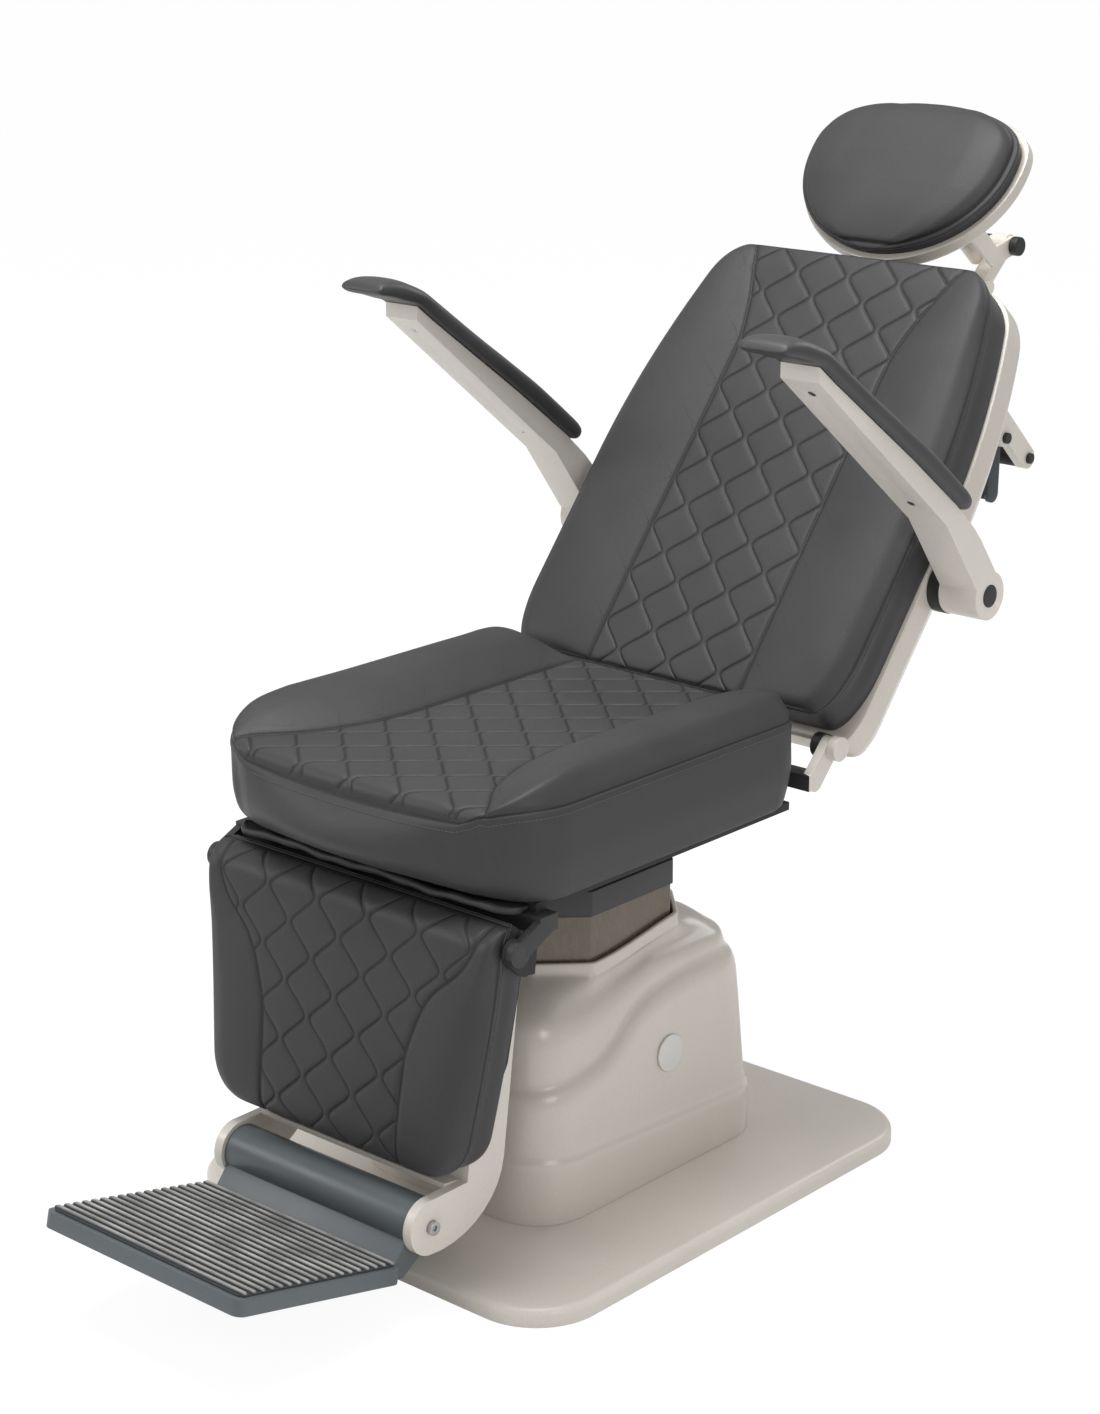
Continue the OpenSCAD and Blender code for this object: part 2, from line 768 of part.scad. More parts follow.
module seat_pan() color(black) translate([-pan_w / 2, -pan_front, pan_z])
    cube([pan_w, pan_rear + pan_front, pan_t]);

module hinge_flap() color(vinyl) translate([-pan_w / 2, -pan_front - flap_l, pan_z + flap_up])
    cube([pan_w, flap_l, flap_t]);

// Cushions
// A cushion is made lying down: X across it, Y along it from its near end, and Z up from its flat base.
// Its form is a list: length, half width, panel, heights, ends, rings and quilting, by the names below.
function length_of(form) = form[0];
function outline_of(form) = form[1];
function panel_of(form) = form[2];
function middle_of(form) = form[3][0];
function bolster_of(form) = form[3][1];
function edge_of(form) = form[3][2];
function edge_drop_of(form) = form[3][3];
function near_end_of(form) = form[4][0];
function far_end_of(form) = form[4][1];
function roll_of(form) = form[4][2];
function rings_of(form) = form[5];
function phase_of(form) = form[6];
function quilt_of(form) = form[7];

// Half width along a cushion that narrows towards its far end, with elliptical corners
function half_width(s, len, half, taper, near, far) =
    let (t = max(0, s / len - taper_start_share) / (1 - taper_start_share))
    half - taper * t * t - corner_cut(s, near) - corner_cut(len - s, far);
function corner_cut(d, corner) = corner[0] * (1 - sqrt(1 - pow(1 - min(1, d / corner[1]), 2)));

function quilt_step() = quilt_l / 4;
function cushion_rows(form) =
    let (len = length_of(form), step = quilt_step(), first = phase_of(form) % step)
    concat([0, edge_row],
        [for (k = [0 : ceil(len / step)]) let (s = first + k * step)
            if (s > edge_row + row_gap && s < len - edge_row - row_gap) s],
        [len - edge_row, len]);

function column_count() = quilt_columns + len(outer_shares);

// Where column c of the upper face stands in the row at s: quilted columns keep their spacing, the one
// beside the panel's seam lies on it, and the outer ones share what is left
function column_x(c, s, form) =
    let (a = abs(c), half = outline_of(form)(s), seam = panel_of(form)(s), step = quilt_w / 4,
         near = min(quilt_columns * step, half - edge_margin),
         x = a <= quilt_columns ? near * a / quilt_columns
            : near + (half - near) * outer_shares[a - quilt_columns - 1])
    sign(c) * (seam > 0 && a < column_count() && abs(x - seam) <= step / 2 ? seam : x);

// How far up its cell a node of the quilting stands, from the channels to the middle
function puff(i, j) = puff_shares[min(off_line(i + j), off_line(i - j))];
function off_line(n) = let (m = abs(n) % 4) min(m, 4 - m);

function cushion_height(x, c, s, form) =
    let (len = length_of(form), half = outline_of(form)(s), seam = panel_of(form)(s), a = abs(x),
         t = max(0, (a - seam) / (half - seam)),
         edge = edge_of(form) - edge_drop_of(form) * lookup(s / near_end_of(form), end_shares),
         body = middle_of(form) + bolster_of(form) * lookup(t, rise_shares)
            - (middle_of(form) - edge) * lookup(t, fall_shares),
         e = max(lookup(s / near_end_of(form), end_shares), lookup((len - s) / far_end_of(form),
             end_shares)),
         j = (s - phase_of(form)) / quilt_step(), on_grid = abs(j - round(j)) * quilt_step() < face_gap,
         channel = seam <= 0 || abs(c) > quilt_columns ? 0
            : abs(a - seam) < face_gap ? panel_seam_depth
            : a < seam && on_grid ? quilt_of(form) * (1 - puff(c, round(j))) : 0,
         h = body - (body - edge) * e - channel,
         roll = roll_of(form), u = roll > 0 ? max(0, s - len + roll) / roll : 0)
    roll > 0 ? roll + (h - roll) * sqrt(1 - u * u) : h;

// A ring down the wall has its share of the height, the offset of its sides, and those of its near end, at
// the middle and at the corners, and of its far end; the last three fade in towards the ends
function near_offset(ring, u) = ring[2] + (ring[3] - ring[2]) * u * u;
function end_fade(d, form) = pow(max(0, 1 - d / (3 * max(near_end_of(form) / 2, abs(roll_of(form))))), 2);

function cushion_points(form) =
    let (rows = cushion_rows(form), n = column_count(), last = len(rows) - 1, len = length_of(form),
         top = [for (s = rows, c = [-n : n]) let (x = column_x(c, s, form))
             [x, s, cushion_height(x, c, s, form)]],
         rim = rim_of(last, n))
    concat(top,
        [for (ring = rings_of(form), k = rim) let (p = top[k], s = p[1])
            [p[0] * (1 + ring[1] / outline_of(form)(s)),
             s - near_offset(ring, p[0] / outline_of(form)(s)) * end_fade(s, form) + ring[4]
                 * end_fade(len - s, form),
             p[2] * ring[0]]],
        [[0, len / 2, 0]]);

// The nodes round the upper face, in order from its near left corner
function rim_of(last, n) = let (w = 2 * n + 1) concat(
    [for (c = [0 : w - 1]) c], [for (r = [1 : last - 1]) r * w + w - 1],
    [for (c = [w - 1 : -1 : 0]) last * w + c], [for (r = [last - 1 : -1 : 1]) r * w]);

function cushion_faces(form) =
    let (rows = cushion_rows(form), n = column_count(), w = 2 * n + 1, last = len(rows) - 1,
         rim = rim_of(last, n), m = len(rim), low = (last + 1) * w, rings = len(rings_of(form)))
    concat(
        [for (r = [0 : last - 1], c = [-n : n - 1])
            let (a = r * w + c + n, j = round((rows[r] - phase_of(form)) / quilt_step()), even =
                (c + n + j + n) % 2 == 0)
            each even ? [[a, a + w, a + w + 1], [a, a + w + 1, a + 1]] : [[a, a + w, a + 1],
                [a + 1, a + w, a + w + 1]]],
        [for (g = [0 : rings - 1], k = [0 : m - 1])
            let (q = (k + 1) % m, a = g == 0 ? rim[k] : low + (g - 1) * m + k, b = g == 0 ? rim[q]
                : low + (g - 1) * m + q,
                 d = low + g * m + k, e = low + g * m + q)
            each [[a, b, e], [a, e, d]]],
        [for (k = [0 : m - 1]) let (d = low + (rings - 1) * m) [low + rings * m, d + k, d + (k + 1) % m]]);

module cushion(form) polyhedron(points = cushion_points(form), faces = cushion_faces(form), convexity = 6);

function linear_panel(len, half, shares) = function (s) half * lookup(s / len, shares);

seat_form = [seat_l,
    function (s) half_width(s, seat_l, seat_w / 2 - draw, 0, [seat_corner_r, seat_corner_r],
        [seat_rear_r, seat_rear_r]),
    linear_panel(seat_l, seat_w / 2, seat_panel_shares),
    [seat_t, seat_bolster, seat_t, seat_edge_drop], [seat_end_l, seat_end_l, 0],
    [[0.75, 0, 0.7 * seat_swell, 0, 0], [0.48, 0, seat_swell, 0, draw / 2], [0.2, -draw, 0, -draw, 0],
        [0, -2 * draw, -seat_foot, -seat_foot, -draw]],
    seat_phase, quilt_depth];

back_form = [back_l,
    function (s) half_width(s, back_l, back_w / 2, back_taper, back_foot_corner, back_corner),
    linear_panel(back_l, back_w / 2, back_panel_shares),
    [back_t, back_bolster, back_edge_h, 0], [back_end_l, back_end_l, 0],
    [[0.66, -draw, -draw, -draw, -draw], [0.3, -draw / 2, -draw / 2, -draw / 2, -draw],
        [0, -draw, -draw, -draw, -draw]],
    back_phase, quilt_depth];

leg_form = [leg_l + leg_roll_r,
    function (s) half_width(s, leg_l + leg_roll_r, leg_w / 2 - leg_narrow(s), 0, leg_corner, [draw, draw]),
    linear_panel(leg_l + leg_roll_r, leg_w / 2, leg_panel_shares),
    [leg_t, draw / 2, leg_edge_h, 0], [leg_end_l, leg_end_l, leg_roll_r],
    [[0.66, -draw, -draw, -draw, -0.06 * leg_roll_r], [0.33, -draw / 2, -draw, -draw, -0.26 * leg_roll_r],
        [0, -draw, -draw, -draw, -leg_roll_r]],
    leg_phase, quilt_depth];

head_form = [head_h,
    function (s) head_half(s / head_h),
    function (s) 0,
    [head_t, 0, head_edge_h, 0], [head_h * 0.4, head_h * 0.4, 0],
    [[0.6, -draw / 4, -draw / 4, -draw / 4, -draw / 4], [0, -draw, -draw, -draw, -draw]],
    0, 0];

function leg_narrow(s) = leg_taper * pow(1 - min(1, s / leg_l), 1.4);
function head_half(t) = head_w / 2 * max(head_end_share, t < head_widest_share
    ? sqrt(max(0, 1 - pow((head_widest_share - t) / head_widest_share, 2)))
    : sqrt(max(0, 1 - pow((t - head_widest_share) / (1 - head_widest_share), 3))));

module seat_cushion() color(vinyl) translate([0, -seat_front, seat_z]) cushion(seat_form);
module back_cushion() color(vinyl) in_back() translate([0, back_base_y, back_base_z]) rotate([90, 0, 0])
    cushion(back_form);
module legrest_cushion() color(vinyl) in_leg() difference() {
    translate([0, leg_roll_r, -leg_l]) rotate([90, 0, 0]) cushion(leg_form);
    bar(axle_d, -leg_w, leg_w);
}
module headrest_cushion() color(vinyl) in_head() rotate([90, 0, 0]) cushion(head_form);

// Legrest
module legrest_axle() color(steel) in_leg() bar(axle_d, -arm_ear_x - arm_ear_t, arm_ear_x + arm_ear_t);

module legrest_panel() color(black) in_leg() difference() {
    union() {
        face_plate(leg_roll_r, leg_roll_r + board_t) polygon(concat(
            [for (z = [board_inset - leg_l, -leg_l / 2, 0]) [leg_w / 2 - leg_narrow(leg_l + z)
                - board_inset, z]],
            [for (z = [0, -leg_l / 2, board_inset - leg_l]) [board_inset + leg_narrow(leg_l + z)
                - leg_w / 2, z]]));
        face_plate(leg_roll_r, leg_roll_r + board_t) translate([-leg_ear_x - leg_ear_t, -2 * leg_ear_r])
            square([2 * (leg_ear_x + leg_ear_t), 2 * leg_ear_r]);
        both_sides() side_plate(leg_ear_x, leg_ear_x + leg_ear_t)
            link([0, 0], [leg_roll_r + board_t - leg_ear_r - cut, -leg_ear_r - cut], leg_ear_r);
    }
    bar(axle_d, -leg_w, leg_w);
}

module side_outline() {
    polygon(concat(
        [[-knuckle_front, knuckle_r - knuckle_down], [side_front, -side_lip + lip_front / 2],
            [side_front, 0],
            [0.62 * side_deep, 0], [0.95 * side_deep, -0.3 * side_deep], [side_deep, -0.65 * side_deep]],
        [for (a = [0 : 10 : 90]) [(side_deep + knuckle_front) * cos(a) - knuckle_front,
            -side_bend - (knuckle_down + knuckle_r - side_bend) * sin(a)]]));
    translate([-knuckle_front, -knuckle_down]) circle(knuckle_r);
}

module legrest_frame() color(paint) in_leg() difference() {
    union() {
        both_sides() {
            side_plate(side_x, side_x + side_t) side_outline();
        }
        face_plate(side_front, side_front + panel_t) translate([-side_x - cut, -side_lip])
            square([2 * (side_x + cut), side_lip - side_front]);
        translate([-side_x - cut, lip_front, -side_lip])
            cube([2 * (side_x + cut), side_front - lip_front + panel_t, panel_t]);
    }
    at_knuckle() bar(shaft_d, -leg_w, leg_w);
}

module at_knuckle() translate([0, -knuckle_front, -knuckle_down]) children();

module footrest_shaft() color(steel) in_leg() at_knuckle() bar(shaft_d, -side_x - side_t, side_x + side_t);

module footrest_bolts() color(steel) in_leg() at_knuckle() both_sides()
    translate([side_x + side_t, 0, 0]) rotate([0, 90, 0]) difference() {
        cylinder(d = foot_bolt_d, h = foot_bolt_h);
        translate([0, 0, foot_bolt_h - socket_h]) cylinder(d = socket_d, h = socket_h + cut, $fn = 6);
    }

module footrest() color("#59636b") in_foot() difference() {
    union() {
        bar(2 * barrel_r, -barrel_l / 2, barrel_l / 2);
        side_plate(-barrel_l / 2, barrel_l / 2) polygon([[-tread_gap - tread_neck, -tread_down - tread_t],
            [-tread_gap - tread_neck, tread_top], [-tread_gap, tread_top],
                [-0.8 * barrel_r, -0.6 * barrel_r], [0, 0],
            [0.62 * barrel_r, -0.78 * barrel_r], [-0.55 * tread_gap, -tread_down - tread_t]]);
        translate([0, -tread_gap - tread_l / 2, -tread_down - tread_t])
            linear_extrude(tread_t - mat_t - rib_h)
            round_rect(tread_w, tread_l, tread_r);
    }
    bar(shaft_d + 2 * run_gap, -tread_w, tread_w);
}

module footrest_ribs() color("#a29d94") in_foot() translate([0, -tread_gap - tread_l / 2, tread_top]) {
    linear_extrude(mat_t) round_rect(tread_w - 2 * mat_edge, tread_l - 2 * mat_edge,
        tread_r - mat_edge / 2);
    for (k = [0 : rib_count - 1]) translate([0, mat_edge - tread_l / 2 + (k + 0.5) * rib_pitch, mat_t])
        translate([mat_edge - tread_w / 2, -rib_pitch * rib_share / 2, 0])
            cube([tread_w - 2 * mat_edge, rib_pitch * rib_share, rib_h]);
}

// Back
// The back's outline, drawn in by an inset, in the plane of the back
function back_outline(inset, foot) =
    let (n = 12, half = outline_of(back_form), right = [for (k = [0 : n], m = [0 : 1])
        let (corner = k == 0 || k == n, s = foot + (back_l - inset - foot)
            * (corner || m == 0 ? k / n : (k + 0.5) / n))
            if (m == 0 || k == 0 || k == n - 1) [half(s) - inset, s]])
    concat(right, [for (k = [len(right) - 1 : -1 : 0]) [-right[k][0], right[k][1]]]);

module back_slab(y0, y1, inset, foot) translate([0, 0, back_base_z]) face_plate(y0, y1)
    polygon(back_outline(inset, foot));

module back_frame() color(blued) in_back() difference() {
    union() {
        back_slab(back_base_y, back_base_y + board_t, board_inset, board_inset);
        both_sides() side_plate(plate_x, plate_x + plate_t) {
            circle(plate_r);
            polygon([[0, -plate_r], [plate_deep, back_base_z], [plate_deep, plate_rise],
                [back_base_y, plate_rise],
                [back_base_y, back_base_z - cut], [0, plate_r]]);
        }
        both_sides() translate([0, arm_y, arm_up]) bar(arm_boss_d, arm_boss_x,
            back_w / 2 - shell_inset - shell_wall - face_gap);
        at_posts() face_plate(back_base_y + board_t, guide_y - guide_l / 2) circle(d = guide_post_d);
    }
    both_sides() translate([0, arm_y, arm_up]) bar(arm_shaft_d, arm_shaft_in, back_w);
    bar(recline_pin_d, -back_w, back_w);
}

module at_posts() for (k = guide_post_shares) translate([0, 0, guide_z + k * guide_h]) children();

module recline_pins() color(steel) in_back() both_sides()
    bar(recline_pin_d, plate_x - lock_wall, ear_x + ear_t + lock_t - lock_wall);

module shell_form(wall) hull() {
    back_slab(back_base_y - wall, back_base_y + shell_step_share * shell_side - wall / 2, wall, wall);
    back_slab(back_base_y - wall, back_base_y + shell_side - wall, shell_inset + wall, shell_inset + wall);
    back_slab(back_base_y - wall, back_base_y + shell_side + shell_dome - wall, dome_inset + wall,
        dome_foot + wall);
}

module back_shell() color(paint) in_back() difference() {
    shell_form(0);
    shell_form(shell_wall);
    both_sides() {
        translate([0, arm_y, arm_up]) bar(arm_shaft_d + 2 * pass_gap, arm_shaft_in, back_w);
        translate([plate_x - pass_gap, 0, 0]) cube([plate_t + 2 * pass_gap, plate_deep + pass_gap,
            back_base_z + 2 * shell_inset]);
        side_plate(handle_x - pass_gap, handle_x + handle_t + pass_gap)
            link([0, handle_root_z], [handle_grip_y, handle_grip_z],
            handle_r + pass_gap);
    }
    at_posts() face_plate(0, guide_y) circle(d = guide_post_d + 2 * pass_gap);
}

module arm_shafts() color(steel) in_back() both_sides() translate([0, arm_y, arm_up])
    bar(arm_shaft_d, arm_shaft_in, arm_x - arm_w / 2 + arm_shaft_l);

module arm_collars() color(black) in_back() both_sides() translate([0, arm_y, arm_up]) difference() {
    bar(arm_collar_d, back_w / 2 + face_gap, arm_x - arm_w / 2 - face_gap);
    bar(arm_shaft_d, 0, arm_x);
}

module headrest_guide() color(paint) in_back() translate([0, guide_y, guide_z]) linear_extrude(guide_h)
    difference() {
    round_rect(guide_w, guide_l, handle_t);
    translate([0, slide_y - guide_y]) square([post_w + 2 * slide_gap, post_t + 2 * slide_gap], center = true);
}

// Push handle and release lever
module at_handle_grip() translate([0, handle_grip_y, handle_grip_z]) children();
module at_lever_pivot() translate([0, lever_y, lever_z]) children();
module at_lever_grip() translate([0, lever_grip_y, lever_grip_z]) children();

module handle_arms() color(paint) in_back() both_sides() difference() {
    side_plate(handle_x, handle_x + handle_t) {
        link([back_base_y, handle_root_z], [handle_grip_y, handle_grip_z], handle_r);
        translate([lever_y, lever_z]) circle(lever_lug_r);
    }
    translate([handle_x - cut, back_base_y + board_t - handle_grip_y, 0])
        cube([handle_t + 2 * cut, handle_grip_y, head_up]);
    at_lever_pivot() bar(lever_pin_d, 0, back_w);
}

module handle_grip() color(black) in_back() at_handle_grip() difference() {
    bar(grip_d, -handle_x, handle_x);
    bar(grip_d - 2 * grip_wall, -back_w, back_w);
}

module handle_bolts() color(black) in_back() both_sides() at_handle_grip()
    bar(end_bolt_d, handle_x + handle_t, handle_x + handle_t + end_bolt_h);

module lever_arms() color("#47525e") in_back() both_sides() difference() {
    side_plate(lever_x, lever_x + lever_t) link([lever_y, lever_z], [lever_grip_y, lever_grip_z], lever_r);
    at_lever_pivot() bar(lever_pin_d + 2 * run_gap, 0, back_w);
}

module lever_tube() color(black) in_back() at_lever_grip() bar(lever_d, -lever_x, lever_x);

module lever_bolts() color(black) in_back() both_sides() at_lever_pivot() {
    bar(lever_pin_d, lever_x - spring_l - face_gap, handle_x + handle_t);
    bar(end_bolt_d, handle_x + handle_t, handle_x + handle_t + end_bolt_h);
}

module lever_springs() color(steel) in_back() both_sides() at_lever_pivot() difference() {
    bar(lever_pin_d + 2 * spring_wall, lever_x - spring_l, lever_x - face_gap);
    bar(lever_pin_d, 0, back_w);
}

// Arms
function on_arm(p) = [-arm_reach * p[0], arm_rise * p[1]];

module arm_bracket_right() color(paint) in_arm(1) difference() {
    side_plate(-arm_w / 2, arm_w / 2) polygon(concat([for (p = bracket_shares) on_arm(p)],
        [for (a = [hub_from : -6 : hub_to]) hub_r * [cos(a), sin(a)]]));
    bar(arm_shaft_d + 2 * run_gap, -arm_w, arm_shaft_l - arm_w / 2 + face_gap);
    bar(cap_d, arm_w / 2 - cap_recess, arm_w);
    for (p = pad_screw_shares) translate([0, -arm_reach * p[0], arm_rise * p[1]]) {
        translate([0, 0, -cut]) cylinder(d = pad_screw_head, h = pad_screw_h + cut);
        cylinder(d = pad_screw_d, h = arm_rise);
    }
}
module arm_bracket_left() mirror([1, 0, 0]) arm_bracket_right();

module arm_cap_right() color(black) in_arm(1) bar(cap_d, arm_w / 2 - cap_recess,
    arm_w / 2 - cap_recess + cap_t);
module arm_cap_left() mirror([1, 0, 0]) arm_cap_right();

module pad_screws_right() color(steel) in_arm(1) for (p = pad_screw_shares)
    translate([0, -arm_reach * p[0], arm_rise * p[1] + pad_screw_h]) mirror([0, 0, 1])
        screw(pad_screw_head, pad_screw_h, pad_screw_d, arm_rise * (p[2] - p[1]) - pad_screw_h,
            pad_screw_d / 2);
module pad_screws_left() mirror([1, 0, 0]) pad_screws_right();

// The pad is swept along the arm: each row is a closed loop, flat below and crowned above
function pad_loop(row) = let (half = pad_w / 2 * row[3], low = arm_rise * row[1], h =
    arm_rise * (row[2] - row[1]),
    side = [for (q = pad_section_shares) [half * q[0], low + h * q[1]]], n = len(side))
    [each [for (q = side) [q[0], -arm_reach * row[0], q[1]]],
     each [for (k = [n - 1 : -1 : 0]) [-side[k][0], -arm_reach * row[0], side[k][1]]]];

module arm_pad_right() color(vinyl) in_arm(1) let (n = len(pad_shares), m = 2 * len(pad_section_shares))
    polyhedron(points = [for (row = pad_shares) each pad_loop(row)], faces = concat(
        [for (r = [0 : n - 2], k = [0 : m - 1]) let (a = r * m + k, b = r * m + (k + 1) % m)
            each [[a, b, b + m], [a, b + m, a + m]]],
        [for (k = [1 : m - 2]) [0, k + 1, k]],
        [for (k = [1 : m - 2]) let (z = (n - 1) * m) [z, z + k, z + k + 1]]));
module arm_pad_left() mirror([1, 0, 0]) arm_pad_right();

// Headrest
module headrest_post() color(paint) in_back() difference() {
    union() {
        translate([0, slide_y, post_foot]) linear_extrude(post_top - post_foot)
            square([post_w, post_t], center = true);
        side_plate(-post_w / 2, post_w / 2) {
            link([slide_y, post_top], [neck_y, neck_z], neck_r);
            link([neck_y, neck_z], neck_stop(), neck_r);
        }
        side_plate(-eye_w / 2, eye_w / 2) {
            link([neck_y, neck_z], [knuckle_y, knuckle_z], neck_r);
            translate([knuckle_y, knuckle_z]) circle(eye_r);
        }
    }
    at_head_pin() bar(head_pin_d + 2 * run_gap, -post_w, post_w);
    at_neck_screw() cylinder(d = neck_screw_d / 2, h = 2 * post_w, center = true);
}

function neck_stop() = [neck_y, neck_z] + neck_stop_share * [knuckle_y - neck_y, knuckle_z - neck_z];
module at_head_pin() translate([0, knuckle_y, knuckle_z]) children();
module at_neck_screw() translate([post_w / 2, neck_y, neck_z]) rotate([0, 90, 0]) children();

module neck_screw() color(steel) in_back() at_neck_screw()
    screw(neck_screw_d, neck_screw_h, neck_screw_d / 2, post_w / 4, neck_screw_d / 2);

module headrest_blade() color(paint) in_back() difference() {
    union() {
        both_sides() side_plate(eye_w / 2 + face_gap, eye_w / 2 + face_gap + cheek_t) {
            link([knuckle_y, knuckle_z], [knuckle_y - blade_h, head_up + blade_rise], blade_h / 2);
            link([knuckle_y - blade_h, head_up + blade_rise], [head_back, head_up + blade_rise],
                blade_h / 2);
        }
        translate([-eye_w / 2 - face_gap - cut, head_back, head_up + blade_rise - blade_t / 2])
            cube([eye_w + 2 * face_gap + 2 * cut, knuckle_y - head_back - blade_h - eye_r, blade_t]);
        face_plate(head_back, head_back + blade_t) translate([0, head_up + blade_rise])
            round_rect(2 * post_w, 2 * blade_h, blade_t);
    }
    translate([-seat_w / 2, head_back - seat_w, head_up]) cube([seat_w, seat_w, head_h]);
    at_head_pin() bar(head_pin_d, -post_w, post_w);
}

module headrest_pin() color(steel) in_back() at_head_pin() bar(head_pin_d, -eye_w / 2 - cheek_t,
    eye_w / 2 + cheek_t);

module headrest_knobs() color(black) in_back() at_head_pin() both_sides()
    bar(knob_d, eye_w / 2 + face_gap + cheek_t, eye_w / 2 + face_gap + cheek_t + knob_t);

function head_outline(grow, scale) = let (n = 14, low = head_h * (1 - scale) / 2)
    [for (side = [1, -1], k = [0 : n]) let (m = side > 0 ? k : n - k, t = (1 - cos(180 * m / n)) / 2)
        [side * (head_half(t) * scale + grow), low + head_h * scale * t + grow * (2 * t - 1)]];

module headrest_shell() color(paint) in_head() difference() {
    hull() {
        face_plate(-head_rim_h, head_floor) polygon(head_outline(head_rim, 1));
        face_plate(-head_rim_h, head_floor + head_dome) polygon(head_outline(0, head_dome_share));
    }
    face_plate(-head_h, 0) polygon(head_outline(soft_gap, 1));
}

base_plate();
base_cover();
cover_badge();
column_outer();
column_bolts();
guide_ring();
lift_cylinder();
pump_unit();
power_inlet();
column_inner();
lift_rod();
column_shroud();
shroud_collar();
bearing_lower();
bearing_upper();
turntable();
seat_frame();
recline_lock();
seat_pan();
seat_cushion();
hinge_flap();
legrest_axle();
legrest_panel();
legrest_frame();
legrest_cushion();
footrest_shaft();
footrest_bolts();
footrest();
footrest_ribs();
recline_pins();
back_frame();
back_shell();
back_cushion();
arm_shafts();
arm_collars();
headrest_guide();
handle_arms();
handle_grip();
handle_bolts();
lever_arms();
lever_tube();
lever_bolts();
lever_springs();
arm_bracket_left();
arm_bracket_right();
arm_pad_left();
arm_pad_right();
arm_cap_left();
arm_cap_right();
pad_screws_left();
pad_screws_right();
headrest_post();
neck_screw();
headrest_blade();
headrest_pin();
headrest_knobs();
headrest_shell();
headrest_cushion();
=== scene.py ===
import functools
import math
import bmesh
import bpy
import numpy as np
from mathutils import Matrix, Vector
from mathutils.bvhtree import BVHTree
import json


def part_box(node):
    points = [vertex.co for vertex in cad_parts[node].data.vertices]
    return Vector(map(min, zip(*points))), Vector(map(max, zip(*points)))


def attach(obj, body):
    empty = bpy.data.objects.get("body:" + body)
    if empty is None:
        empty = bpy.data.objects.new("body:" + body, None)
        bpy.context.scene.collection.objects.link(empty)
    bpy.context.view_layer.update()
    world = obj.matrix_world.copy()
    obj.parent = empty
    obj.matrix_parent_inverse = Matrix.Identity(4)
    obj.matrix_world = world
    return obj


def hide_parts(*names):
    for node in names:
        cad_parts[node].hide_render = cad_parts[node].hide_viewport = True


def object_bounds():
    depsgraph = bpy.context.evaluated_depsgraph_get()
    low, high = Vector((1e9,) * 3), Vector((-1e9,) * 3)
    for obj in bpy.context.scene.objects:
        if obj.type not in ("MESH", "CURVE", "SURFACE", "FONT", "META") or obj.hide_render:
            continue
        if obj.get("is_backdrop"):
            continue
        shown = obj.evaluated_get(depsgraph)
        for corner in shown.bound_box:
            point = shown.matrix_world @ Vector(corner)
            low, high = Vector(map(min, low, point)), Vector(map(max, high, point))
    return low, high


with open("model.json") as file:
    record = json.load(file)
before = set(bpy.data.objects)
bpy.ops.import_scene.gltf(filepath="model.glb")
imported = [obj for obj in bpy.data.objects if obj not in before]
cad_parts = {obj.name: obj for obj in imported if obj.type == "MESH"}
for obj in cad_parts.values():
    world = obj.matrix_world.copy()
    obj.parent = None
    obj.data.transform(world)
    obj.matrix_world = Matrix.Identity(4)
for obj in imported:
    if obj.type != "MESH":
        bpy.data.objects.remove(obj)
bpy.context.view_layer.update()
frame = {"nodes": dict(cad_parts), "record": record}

# Camera and studio. The chair is seen from its front right corner and a little above, on a white
# studio floor, under a wide soft lamp overhead with a key from the left and a fill from the right.
view_side, view_up, view_roll = math.radians(41.9), math.radians(17.24), math.radians(-0.278)
back = Vector((math.sin(view_side) * math.cos(view_up), -math.cos(view_side) * math.cos(view_up),
               math.sin(view_up)))
right = Vector((math.cos(view_side), math.sin(view_side), 0))
up = back.cross(right)
across = right * math.cos(view_roll) + up * math.sin(view_roll)
upward = up * math.cos(view_roll) - right * math.sin(view_roll)
sensor, focal_pixels, picture_height = 36, 2989, 1414
lens = bpy.data.cameras.new("camera")
lens.sensor_width, lens.lens, lens.clip_end = sensor, sensor * focal_pixels / picture_height, 60
camera = bpy.data.objects.new("camera", lens)
camera.matrix_world = Matrix((across, upward, back)).transposed().to_4x4()
camera.location = (2.262, -2.545, 1.640)
bpy.context.collection.objects.link(camera)
bpy.context.scene.camera = camera
bpy.context.scene.view_settings.view_transform = "Standard"

for title, place, size, power in (("overhead", (-0.2, -0.2, 3.6), 2.2, 86),
                                  ("key", (-2.8, -2.6, 2.3), 1.4, 32),
                                  ("fill", (3.4, -1.2, 2.0), 1.6, 24), ("rear", (0.6, 3.4, 2.6), 1.6, 22)):
    lamp = bpy.data.lights.new(title, "AREA")
    lamp.shape, lamp.size, lamp.energy = "DISK", size, power
    holder = bpy.data.objects.new(title, lamp)
    holder.location = place
    holder.rotation_euler = (Vector((0, 0, 0.6)) - Vector(place)).to_track_quat("-Z", "Y").to_euler()
    bpy.context.collection.objects.link(holder)


def ranged(tree, source, low, high, low_to=0.0, high_to=1.0, smooth=False):
    """Carries what lies from low to high in a source over to a new range."""
    node = tree.nodes.new("ShaderNodeMapRange")
    if smooth:
        node.interpolation_type = "SMOOTHSTEP"
    for title, value in (("From Min", low), ("From Max", high), ("To Min", low_to), ("To Max", high_to)):
        node.inputs[title].default_value = value
    tree.links.new(source, node.inputs["Value"])
    return node.outputs[0]


